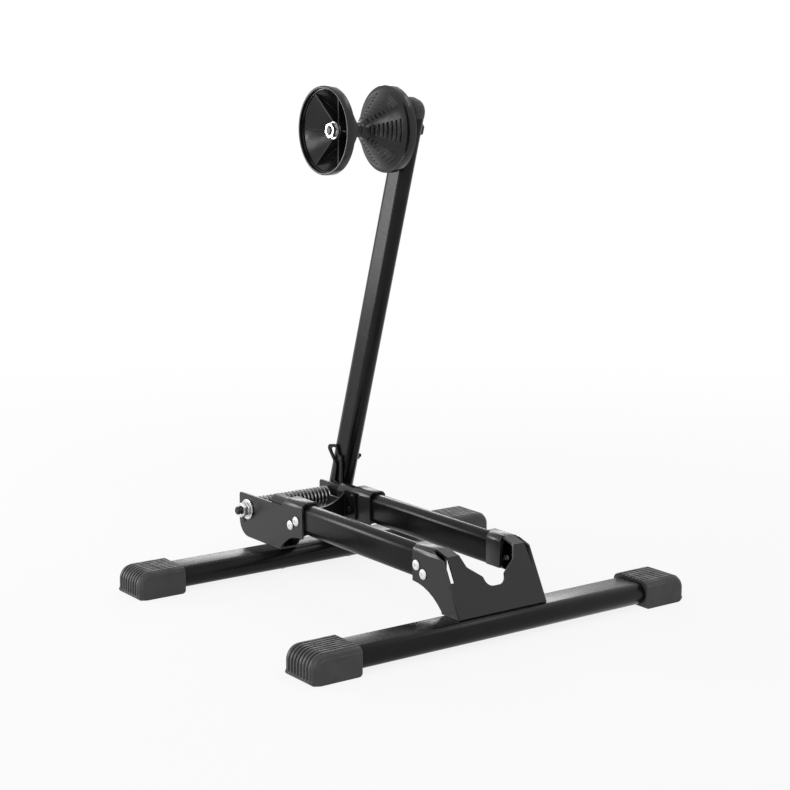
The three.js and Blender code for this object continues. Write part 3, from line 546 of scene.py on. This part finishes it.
# Pressed brackets, cradle, hub and lever
pressings = {
    "edge": 0.5 * mm,
    "hubEdge": 0.3 * mm,
    "leverEdge": 0.55 * mm,
    "bend": 2.2 * mm,
    "halfWidth": 48.6 * mm,
    "halfWidthWithin": 0.2 * mm,
    "toeY": -172.06 * mm,
    "toeZ": 23.3 * mm,
    "lean": 28,
    "plateWithin": 0.3 * mm,
    "smooth": 30,
    "leverSmooth": 35,
}


def onFrontBend(edge):
    # the outer edges between the notched plate and the side plates
    slope = math.tan(math.radians(pressings["lean"]))

    def onPlate(point):
        plateY = pressings["toeY"] + (point.z - pressings["toeZ"]) * slope
        return abs(point.y - plateY) < pressings["plateWithin"]

    def onSide(point):
        return abs(abs(point.x) - pressings["halfWidth"]) < pressings["halfWidthWithin"]

    return all(onPlate(vert.co) and onSide(vert.co) for vert in edge.verts)


def buildPressings():
    # the brackets take the lighter copy of the coat, painted sheen
    front = fromNode("front_bracket", pressings["edge"], bends=onFrontBend, bendRadius=pressings["bend"])
    addPiece("front_bracket.pressed", front, ["front_bracket"], pressings["smooth"], "litBracketCoat")
    # the cradle between the brackets keeps the darker coat, painted shade
    for node, finish in (("rear_bracket_left", "litBracketCoat"), ("rear_bracket_right", "litBracketCoat"),
                         ("rear_cradle", "powderCoat")):
        addPiece(node + ".pressed", fromNode(node, pressings["edge"]), [node], pressings["smooth"], finish)
    hub = fromNode("swing_hub", pressings["hubEdge"])
    addPiece("swing_hub.turned", hub, ["swing_hub"], pressings["smooth"])
    lever = fromNode("release_lever", pressings["leverEdge"])
    addPiece("release_lever.cut", lever, ["release_lever"], pressings["leverSmooth"])


buildPressings()
print("stage: pressings")


# Rivets with a domed head and a sunk middle, whose hollow goes by shares of "sink" and "mouth"
rivets = {
    "height": 1.4 * mm,
    "shank": 2.4 * mm,
    "cradleHeight": 1.2 * mm,
    "cradleShank": 1.8 * mm,
    "domeShare": 0.82,
    "headRadius": 4.7 * mm,
    "mouth": 1.5 * mm,
    "sink": 2.0 * mm,
    "hollow": ((0.5, 0.8), (1, 0.7), (0.7, 0)),
    "steps": 36,
    "smooth": 40,
}


def buildRivet(node):
    low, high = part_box(node)
    middle = (low + high) / 2
    outward = 1 if abs(high.x) > abs(low.x) else -1
    onCradle = node.startswith("cradle")
    if onCradle:
        outward = -outward  # these heads face the middle of the rack
    face = high.x if outward > 0 else low.x
    tail = low.x if outward > 0 else high.x
    radius = (high.z - low.z) / 2
    height = rivets["cradleHeight" if onCradle else "height"]
    shank = rivets["cradleShank" if onCradle else "shank"]
    mouth = rivets["mouth"] * radius / rivets["headRadius"]
    profile = [(tail, 0), (tail, shank), (face - outward * height, shank)]
    for step in range(7):
        turn = math.radians(90 * step / 6)
        across = mouth + (radius - mouth) * math.cos(turn)
        profile.append((face - outward * height * rivets["domeShare"] * (1 - math.sin(turn)), across))
    profile += [(face - outward * rivets["sink"] * deep, mouth * wide) for deep, wide in rivets["hollow"]]
    bm = spun(profile, rivets["steps"])
    bmesh.ops.translate(bm, vec=(0, middle.y, middle.z), verts=bm.verts)
    addPiece(node + ".domed", bm, [node], rivets["smooth"], "powderCoat" if onCradle else None)


for node in sorted(frame["nodes"]):
    if "_rivet_" in node:
        buildRivet(node)
print("stage: rivets")


# Nuts, washers, bolts and pins. "axleHead" is (back from the end, radius) from the shank to the middle.
hardware = {
    "chamfer": 0.35 * mm,
    "chamferAngle": 35,
    "smooth": 32,
    "studSmooth": 40,
    "studSteps": 44,
    "studRadius": 4 * mm,
    "studEnd": 0.8 * mm,
    "pitchM8": 1.25 * mm,
    "threadDepth": 0.45 * mm,
    "axleThread": 15 * mm,
    "axleHead": [(back * mm, radius * mm) for back, radius in (
        (4.5, 4), (4.5, 6.6), (4, 7), (2.2, 7), (1, 6.5), (0.2, 5.2), (0, 3.4), (2, 3), (2.2, 0))],
    "rollerThreadLeft": 9 * mm,
    "rollerThreadRight": 12 * mm,
    "pinSteps": 32,
    "pinRadius": 2 * mm,
    "pinHeadEdge": 0.2 * mm,
    "pinThread": 9 * mm,
    "pinEnd": 0.4 * mm,
    "pitchSmall": 0.7 * mm,
    "pinThreadDepth": 0.25 * mm,
}
plainHardware = {
    "darkBolt": ["front_floor_bolt_left", "front_floor_bolt_right", "rear_floor_bolt_left",
                 "rear_floor_bolt_right", "lever_pin_nut", "roller_nut_right", "roller_washer_right",
                 "drive_pin"],
    "powderCoat": ["spring_anchor_pin"],
    "zincPlate": ["front_floor_nut_left", "front_floor_nut_right", "rear_floor_nut_left",
                  "rear_floor_nut_right", "axle_head_washer", "roller_washer_left", "arm_bush", "axle_nut",
                  "axle_flange_washer", "roller_nut_left"],
}
for finish, nodes in plainHardware.items():
    for node in nodes:
        plain = fromNode(node, hardware["chamfer"], hardware["chamferAngle"])
        addPiece(node + ".plated", plain, [node], hardware["smooth"], finish)


def addStud(node, profile, steps, centre):
    bm = spun(profile, steps)
    bmesh.ops.translate(bm, vec=(0, centre.y, centre.z), verts=bm.verts)
    addPiece(node + ".threaded", bm, [node], hardware["studSmooth"], "darkBolt")


def threadM8(start, end):
    return threadProfile(hardware["studRadius"], start, end, hardware["pitchM8"], hardware["threadDepth"])


def buildArmAxle():
    low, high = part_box("arm_axle")
    tip = hardware["studRadius"] - hardware["studEnd"]
    thread = threadM8(low.x + hardware["studEnd"], low.x + hardware["axleThread"])
    head = [(high.x - back, radius) for back, radius in hardware["axleHead"]]
    addStud("arm_axle", [(low.x, 0), (low.x, tip), *thread, *head], hardware["studSteps"], axlePoint)


def buildRollerAxle():
    low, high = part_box("roller_axle")
    tip = hardware["studRadius"] - hardware["studEnd"]
    left = threadM8(low.x + hardware["studEnd"], low.x + hardware["rollerThreadLeft"])
    right = threadM8(high.x - hardware["rollerThreadRight"], high.x - hardware["studEnd"])
    profile = [(low.x, 0), (low.x, tip), *left, *right, (high.x, tip), (high.x, 0)]
    addStud("roller_axle", profile, hardware["studSteps"], rollerPoint)


def buildLeverPin():
    low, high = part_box("lever_pin")
    radius = hardware["pinRadius"]
    headEdge = hardware["pinHeadEdge"]
    thread = threadProfile(radius, high.x - hardware["pinThread"], high.x - hardware["pinEnd"],
                           hardware["pitchSmall"], hardware["pinThreadDepth"])
    profile = [(low.x, 0), (low.x, radius - headEdge), (low.x + headEdge, radius), *thread,
               (high.x, radius - hardware["pinEnd"]), (high.x, 0)]
    addStud("lever_pin", profile, hardware["pinSteps"], leverPoint)


buildArmAxle()
buildRollerAxle()
buildLeverPin()
print("stage: hardware")


# Torsion spring: one wire, wound as in the CAD, with both legs along their tangents
spring = {
    "wire": 2.6 * mm,
    "outside": 22 * mm,
    "turns": 21,
    "plateInside": 46.8 * mm,
    "endFromPlate": 2.2 * mm,
    "pinOut": 14.5 * mm,
    "pinAngle": 300,
    "pin": 5 * mm,
    "fit": 0.3 * mm,
    "legPast": 5.5 * mm,
    "legShares": (0.1, 0.25, 0.5, 0.75, 1),
    "stepsPerTurn": 28,
    "roundSteps": 3,
    "smooth": 50,
}
springEnd = spring["plateInside"] - spring["endFromPlate"]


def springPath():
    radius = (spring["outside"] - spring["wire"]) / 2
    legOut = radius + spring["wire"] / 2 + spring["pin"] / 2 + spring["fit"]
    legAlong = math.sqrt(spring["pinOut"] ** 2 - legOut ** 2)
    offset = math.degrees(math.atan2(legAlong, legOut))
    start = spring["pinAngle"] - offset
    sweep = 2 * offset - 360 * spring["turns"]

    def at(x, angle, tangent):
        c, s = math.cos(math.radians(angle)), math.sin(math.radians(angle))
        return Vector((x, axlePoint.y + radius * c - tangent * s, axlePoint.z + radius * s + tangent * c))

    steps = spring["turns"] * spring["stepsPerTurn"]
    leg = legAlong + spring["legPast"]
    path = [at(-springEnd, start, leg * share) for share in reversed(spring["legShares"])]
    for step in range(steps + 1):
        path.append(at(-springEnd + 2 * springEnd * step / steps, start + sweep * step / steps, 0))
    path += [at(springEnd, start + sweep, -leg * share) for share in spring["legShares"]]
    return path


def springWire():
    # the wire as a bmesh, by way of a bevelled curve
    curve = bpy.data.curves.new("springCurve", "CURVE")
    curve.dimensions = "3D"
    curve.bevel_depth = spring["wire"] / 2
    curve.bevel_resolution = spring["roundSteps"]
    curve.use_fill_caps = True
    path = springPath()
    line = curve.splines.new("POLY")
    line.points.add(len(path) - 1)
    for point, place in zip(line.points, path):
        point.co = (*place, 1)
    holder = newObject("springCurve", curve)
    bpy.context.view_layer.update()
    mesh = bpy.data.meshes.new_from_object(holder.evaluated_get(bpy.context.evaluated_depsgraph_get()))
    bpy.data.objects.remove(holder)
    bm = bmesh.new()
    bm.from_mesh(mesh)
    bpy.data.meshes.remove(mesh)
    bmesh.ops.remove_doubles(bm, verts=bm.verts, dist=limits["merge"])
    bmesh.ops.recalc_face_normals(bm, faces=bm.faces)
    return bm


def buildSpring():
    piece = shownMesh("torsion_spring.wound", springWire(), spring["smooth"], "springSteel")
    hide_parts("torsion_spring")
    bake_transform(piece)


buildSpring()
print("stage: torsion spring")


# Arm with its caps
arm = {
    "wide": 15 * mm,
    "deep": 30 * mm,
    "wall": 1.5 * mm,
    "middleX": 59.2 * mm,
    "length": 404 * mm,
    "foot": 11 * mm,
    "fit": 0.3 * mm,
    "edge": 0.3 * mm,
    "edgeAngle": 50,
    "smooth": 28,
    "capHeight": 15 * mm,
    "capPlug": 9 * mm,
    "footHeight": 5 * mm,
    "footPlug": 4 * mm,
    "straightShare": 0.22,
    "taperX": 0.66,
    "taperY": 0.74,
    "domeSteps": 10,
    "ovalSteps": 48,
    "capSmooth": 35,
}


def domeSections(height):
    # (rise, width share, depth share) from the tube's end to the top of a cap
    straight = arm["straightShare"] * height
    sections = [(straight, 1, 1)]
    for step in range(1, arm["domeSteps"] + 1):
        turn = math.radians(90 * step / arm["domeSteps"])
        closing = 1 - math.cos(turn)
        sections.append((straight + (height - straight) * math.sin(turn),
                         1 - arm["taperX"] * closing, 1 - arm["taperY"] * closing))
    return sections


def buildArmCap(node, start, height, plug, down):
    inner = arm["wall"] + arm["fit"]
    wide, deep = arm["wide"] - 2 * inner, arm["deep"] - 2 * inner
    bm = bmesh.new()
    loop = ovalEdges(bm, wide, deep, arm["ovalSteps"])
    face = bmesh.ops.contextual_create(bm, geom=loop)["faces"][0]
    bmesh.ops.translate(bm, vec=(0, 0, -plug), verts=face.verts)
    face = extrudedFace(bm, face)
    bmesh.ops.translate(bm, vec=(0, 0, plug), verts=face.verts)
    face = extrudedFace(bm, face)
    bmesh.ops.scale(bm, vec=(arm["wide"] / wide, arm["deep"] / deep, 1), verts=face.verts)
    before = (0, 1, 1)
    for rise, acrossX, acrossY in domeSections(height):
        face = extrudedFace(bm, face)
        bmesh.ops.scale(bm, vec=(acrossX / before[1], acrossY / before[2], 1), verts=face.verts)
        bmesh.ops.translate(bm, vec=(0, 0, rise - before[0]), verts=face.verts)
        before = (rise, acrossX, acrossY)
    if down:
        bmesh.ops.rotate(bm, matrix=Matrix.Rotation(math.pi, 3, "X"), verts=bm.verts)
    bmesh.ops.translate(bm, vec=(arm["middleX"], 0, start), verts=bm.verts)
    bmesh.ops.transform(bm, matrix=onArm, verts=bm.verts)
    addPiece(node + ".moulded", bm, [node], arm["capSmooth"])


buildArmCap("arm_end_cap", arm["length"] + arm["fit"], arm["capHeight"], arm["capPlug"], False)
buildArmCap("arm_foot_cap", -arm["foot"] - arm["fit"], arm["footHeight"], arm["footPlug"], True)
addPiece("arm_tube.oval", fromNode("arm_tube", arm["edge"], arm["edgeAngle"]), ["arm_tube"], arm["smooth"])
print("stage: arm")


# Roller: two dished halves, neck to neck, with stepped ridges in six sectors of each cone.
# "bandCorner", "rimCorner" and "rimLip" are (along X, radius) steps from an edge. They and the two
# lists of radii are in millimetres.
roller = {
    "radius": 40.2 * mm,
    "half": 38.4 * mm,
    "band": 8.4 * mm,
    "rim": 2.4 * mm,
    "neck": 7 * mm,
    "neckHalf": 4 * mm,
    "neckRound": 0.4 * mm,
    "neckBlend": (0.5 * mm, 0.6 * mm),
    "coneInset": 3 * mm,
    "coneRadii": (12, 18, 24, 30, 36.4),
    "dishRadii": (34, 28, 22, 16, 10.4),
    "bandCorner": ((-0.1, -2.6), (0, -0.9), (0.25, -0.25), (0.9, 0)),
    "rimCorner": ((-1.0, 0), (-0.3, -0.3), (0, -1.0)),
    "rimLip": ((0, 0.7), (-0.3, 0.1), (-1.2, 0), (-3.2, 0), (-3.4, -0.9), (-5.2, -1.0)),
    "dishCornerIn": 1.6 * mm,
    "dishCorner": (1.0 * mm, -1.2 * mm),
    "wall": 2.5 * mm,
    "boss": 8.4 * mm,
    "bossEnd": 25 * mm,
    "bossFoot": (1.2 * mm, 0.2 * mm),
    "bossEdge": 0.5 * mm,
    "bore": 4.3 * mm,
    "gap": 0.15 * mm,
    "ribs": 6,
    "ribThick": 1.8 * mm,
    "ribEdge": 0.3 * mm,
    "ribBelowBoss": 1 * mm,
    "ribBelowRim": 3.6 * mm,
    "ribIntoBoss": 0.6 * mm,
    "ribIntoRim": 0.4 * mm,
    "ribIntoCone": 1 * mm,
    "ridgeSectors": 6,
    "ridgeSweep": 38,
    "ridgeSteps": 10,
    "ridgeFrom": 10 * mm,
    "ridgePitch": 3.1 * mm,
    "ridgeHeight": 0.75 * mm,
    "ridgeWidthShare": 0.62,
    "ridgeCrestShare": 0.4,
    "ridgeFootShare": 0.1,
    "ridgeSink": 0.3 * mm,
    "steps": 72,
    "smooth": 28,
    "spacerEdge": 0.4 * mm,
    "spacerSmooth": 32,
}
coneEnd = roller["half"] - roller["band"]
coneSlope = (coneEnd - roller["neckHalf"]) / (roller["radius"] - roller["coneInset"] - roller["neck"])
wallAlongX = roller["wall"] * math.hypot(1, coneSlope)
rimInside = roller["radius"] - roller["rim"]


def onCone(radius):
    return roller["neckHalf"] + (radius - roller["neck"]) * coneSlope


def stepsFrom(x, radius, corners):
    return [(x + along * mm, radius + across * mm) for along, across in corners]


def rollerProfile():
    # from the bore over the cone and the rim, and back through the dish and the boss
    gap, neck, neckRound = roller["gap"], roller["neck"], roller["neckRound"]
    blendX, blendRadius = roller["neckBlend"]
    profile = [(gap, roller["bore"]), (gap, neck - neckRound), (gap + neckRound, neck),
               (roller["neckHalf"] - blendX, neck), (onCone(neck + blendRadius), neck + blendRadius)]
    profile += [(onCone(radius * mm), radius * mm) for radius in roller["coneRadii"]]
    profile += stepsFrom(coneEnd, roller["radius"], roller["bandCorner"])
    profile += stepsFrom(roller["half"], roller["radius"], roller["rimCorner"])
    profile += stepsFrom(roller["half"], rimInside, roller["rimLip"])
    cornerX, cornerRadius = roller["dishCorner"]
    cornerFrom = onCone(rimInside - roller["dishCornerIn"]) + wallAlongX
    profile.append((cornerFrom + cornerX, rimInside + cornerRadius))
    profile += [(onCone(radius * mm) + wallAlongX, radius * mm) for radius in roller["dishRadii"]]
    boss, bossEnd, bossEdge = roller["boss"], roller["bossEnd"], roller["bossEdge"]
    footX, footRadius = roller["bossFoot"]
    profile += [(onCone(boss) + wallAlongX + footX, boss + footRadius), (bossEnd - bossEdge, boss),
                (bossEnd, boss - bossEdge), (bossEnd, roller["bore"])]
    return profile


def dishRib(turn):
    # one rib of the dish, from the boss to the rim
    rib = bmesh.new()
    low = roller["boss"] - roller["ribIntoBoss"]
    high = rimInside + roller["ribIntoRim"]
    corners = [(roller["bossEnd"] - roller["ribBelowBoss"], low),
               (roller["half"] - roller["ribBelowRim"], high),
               (onCone(rimInside) + roller["ribIntoCone"], high),
               (onCone(roller["boss"]) + roller["ribIntoCone"], low)]
    face = rib.faces.new([rib.verts.new((x, -roller["ribThick"] / 2, radius)) for x, radius in corners])
    face = extrudedFace(rib, face)
    bmesh.ops.translate(rib, vec=(0, roller["ribThick"], 0), verts=face.verts)
    bmesh.ops.recalc_face_normals(rib, faces=rib.faces)
    bmesh.ops.bevel(rib, geom=rib.edges, offset=roller["ribEdge"], segments=1, profile=0.5,
                    affect="EDGES", material=-1)
    spin = Matrix.Rotation(math.radians(360 / roller["ribs"] * turn + 180 / roller["ribs"]), 3, "X")
    bmesh.ops.rotate(rib, matrix=spin, verts=rib.verts)
    return rib


def coneRidge(sector, ridge):
    # one stepped ridge, swept over its sector of the cone
    tall = roller["ridgeHeight"] / math.hypot(1, coneSlope)
    inner = roller["ridgeFrom"] + ridge * roller["ridgePitch"]
    outer = inner + roller["ridgePitch"] * roller["ridgeWidthShare"]
    crest = inner + roller["ridgePitch"] * roller["ridgeCrestShare"]
    ring = bmesh.new()
    points = [(onCone(inner) + roller["ridgeSink"], inner),
              (onCone(inner) - tall * roller["ridgeFootShare"], inner),
              (onCone(crest) - tall, crest + tall * coneSlope),
              (onCone(outer) + roller["ridgeSink"], outer)]
    face = ring.faces.new([ring.verts.new((x, 0, radius)) for x, radius in points])
    middle = 360 / roller["ridgeSectors"] * sector + 180 / roller["ridgeSectors"]
    start = Matrix.Rotation(math.radians(middle - roller["ridgeSweep"] / 2), 3, "X")
    bmesh.ops.rotate(ring, matrix=start, verts=ring.verts)
    bmesh.ops.spin(ring, geom=[face], cent=(0, 0, 0), axis=(1, 0, 0),
                   angle=math.radians(roller["ridgeSweep"]), steps=roller["ridgeSteps"])
    bmesh.ops.recalc_face_normals(ring, faces=ring.faces)
    return ring


def rollerHalfMesh():
    bm = spun(rollerProfile(), roller["steps"])
    for turn in range(roller["ribs"]):
        joinInto(bm, dishRib(turn))
    ridged = roller["radius"] - roller["coneInset"] - roller["ridgeFrom"]
    for sector in range(roller["ridgeSectors"]):
        for ridge in range(int(ridged / roller["ridgePitch"])):
            joinInto(bm, coneRidge(sector, ridge))
    return bm


def buildRollerHalf(node, side):
    middleX = (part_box("roller_half_left")[0].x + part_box("roller_half_right")[1].x) / 2
    bm = rollerHalfMesh()
    if side < 0:
        bmesh.ops.scale(bm, vec=(-1, 1, 1), verts=bm.verts)
        bmesh.ops.reverse_faces(bm, faces=bm.faces)
    bmesh.ops.translate(bm, vec=(middleX, rollerPoint.y, rollerPoint.z), verts=bm.verts)
    piece = shownMesh(node + ".moulded", bm, roller["smooth"], "rollerPlastic")
    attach(piece, nodeBody[node])
    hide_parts(node)


buildRollerHalf("roller_half_left", -1)
buildRollerHalf("roller_half_right", 1)
spacer = fromNode("roller_spacer", roller["spacerEdge"])
addPiece("roller_spacer.turned", spacer, ["roller_spacer"], roller["spacerSmooth"])
print("stage: roller")


# Floor, light and camera. Each lamp is (watts, width and height, place, what it points at).
studio = {
    "floorSize": 400,
    "floorColor": (0.9, 0.9, 0.9),
    "floorLift": 0.86,
    "shadowReach": 1.4,
    "shadowEdge": 0.6,
    "ambient": 0.5,
}
lamps = {
    "keyLight": (9, (0.8, 0.8), (-1.8, -0.9, 1.5), (0, 0, 0.2)),
    "stripLight": (3, (0.15, 0.6), (-1.65, -1.12, 0.79), (0, -0.1, 0.1)),
    "sideLight": (6, (0.5, 0.4), (-0.85, 0.95, 0.3), (0, 0.1, 0.1)),
    "topLight": (3, (1.0, 0.3), (1.2, -0.2, 1.9), (0, 0, 0.1)),
    "backLight": (8, (1.2, 0.4), (1.2, 1.75, 0.75), (0, 0, 0.1)),
}
photoView = {
    "place": (-0.97031, -1.331574, 0.49269),
    "yaw": -36.313,
    "pitch": 10.544,
    "roll": 0.315,
    "lens": 83.41,
    "sensor": 36,
}


def pureRays(tree):
    # 1 for rays from the camera, off a glossy face or through a clear one, and 0 for the rest
    light = tree.nodes.new("ShaderNodeLightPath")
    seen = light.outputs["Is Camera Ray"]
    for extra in ("Is Glossy Ray", "Is Transmission Ray"):
        seen = mathNode(tree, "MAXIMUM", seen, light.outputs[extra])
    return seen


def floorPaper():
    # pure white far away, and paper that takes a shadow near the rack
    material, tree, shader, place = startMaterial("floorPaper")
    tree.nodes.remove(shader)
    paper = tree.nodes.new("ShaderNodeBsdfDiffuse")
    paper.inputs["Color"].default_value = (*studio["floorColor"], 1)
    glow = tree.nodes.new("ShaderNodeEmission")
    near = tree.nodes.new("ShaderNodeTexGradient")
    near.gradient_type = "SPHERICAL"
    tree.links.new(mappedPlace(tree, place, (1 / studio["shadowReach"],) * 3), near.inputs["Vector"])
    lift = greyRamp(tree, near.outputs["Fac"], (0, studio["shadowEdge"]), (1, studio["floorLift"]))
    both = tree.nodes.new("ShaderNodeMixShader")
    tree.links.new(mathNode(tree, "MULTIPLY", pureRays(tree), lift), both.inputs[0])
    tree.links.new(paper.outputs[0], both.inputs[1])
    tree.links.new(glow.outputs[0], both.inputs[2])
    tree.links.new(both.outputs[0], tree.nodes["Material Output"].inputs["Surface"])
    return material


def buildFloor():
    bm = bmesh.new()
    bmesh.ops.create_grid(bm, x_segments=1, y_segments=1, size=studio["floorSize"] / 2)
    mesh = bpy.data.meshes.new("floor")
    bm.to_mesh(mesh)
    bm.free()
    mesh.materials.append(floorPaper())
    floor = newObject("floor", mesh)


def buildWorld():
    world = bpy.data.worlds.new("paleRoom")
    bpy.context.scene.world = world
    world.use_nodes = True
    tree = world.node_tree
    room = tree.nodes["Background"]
    room.inputs["Color"].default_value = (1, 1, 1, 1)
    room.inputs["Strength"].default_value = studio["ambient"]
    white = tree.nodes.new("ShaderNodeBackground")
    white.inputs["Color"].default_value = (1, 1, 1, 1)
    mix = tree.nodes.new("ShaderNodeMixShader")
    tree.links.new(pureRays(tree), mix.inputs[0])
    tree.links.new(room.outputs[0], mix.inputs[1])
    tree.links.new(white.outputs[0], mix.inputs[2])
    tree.links.new(mix.outputs[0], tree.nodes["World Output"].inputs["Surface"])


def addLamp(name, watts, size, spot, target):
    lamp = bpy.data.lights.new(name, "AREA")
    lamp.energy = watts
    lamp.shape = "RECTANGLE"
    lamp.size, lamp.size_y = size
    toward = Vector(target) - Vector(spot)
    turn = toward.to_track_quat("-Z", "Y").to_matrix().to_4x4()
    newObject(name, lamp).matrix_world = Matrix.Translation(spot) @ turn


def buildCamera():
    yaw, pitch, roll = (math.radians(photoView[name]) for name in ("yaw", "pitch", "roll"))
    back = Vector((math.sin(yaw) * math.cos(pitch), -math.cos(yaw) * math.cos(pitch), math.sin(pitch)))
    right = Vector((math.cos(yaw), math.sin(yaw), 0))
    up = back.cross(right)
    across = right * math.cos(roll) + up * math.sin(roll)
    upright = up * math.cos(roll) - right * math.sin(roll)
    data = bpy.data.cameras.new("photoCamera")
    data.lens = photoView["lens"]
    data.sensor_width = photoView["sensor"]
    camera = newObject("photoCamera", data)
    turn = Matrix((across, upright, back)).transposed().to_4x4()
    camera.matrix_world = Matrix.Translation(photoView["place"]) @ turn
    bpy.context.scene.camera = camera


buildFloor()
buildWorld()
for name, (watts, size, spot, target) in lamps.items():
    addLamp(name, watts, size, spot, target)
buildCamera()
bpy.context.scene.view_settings.view_transform = "Standard"
print("stage: studio")
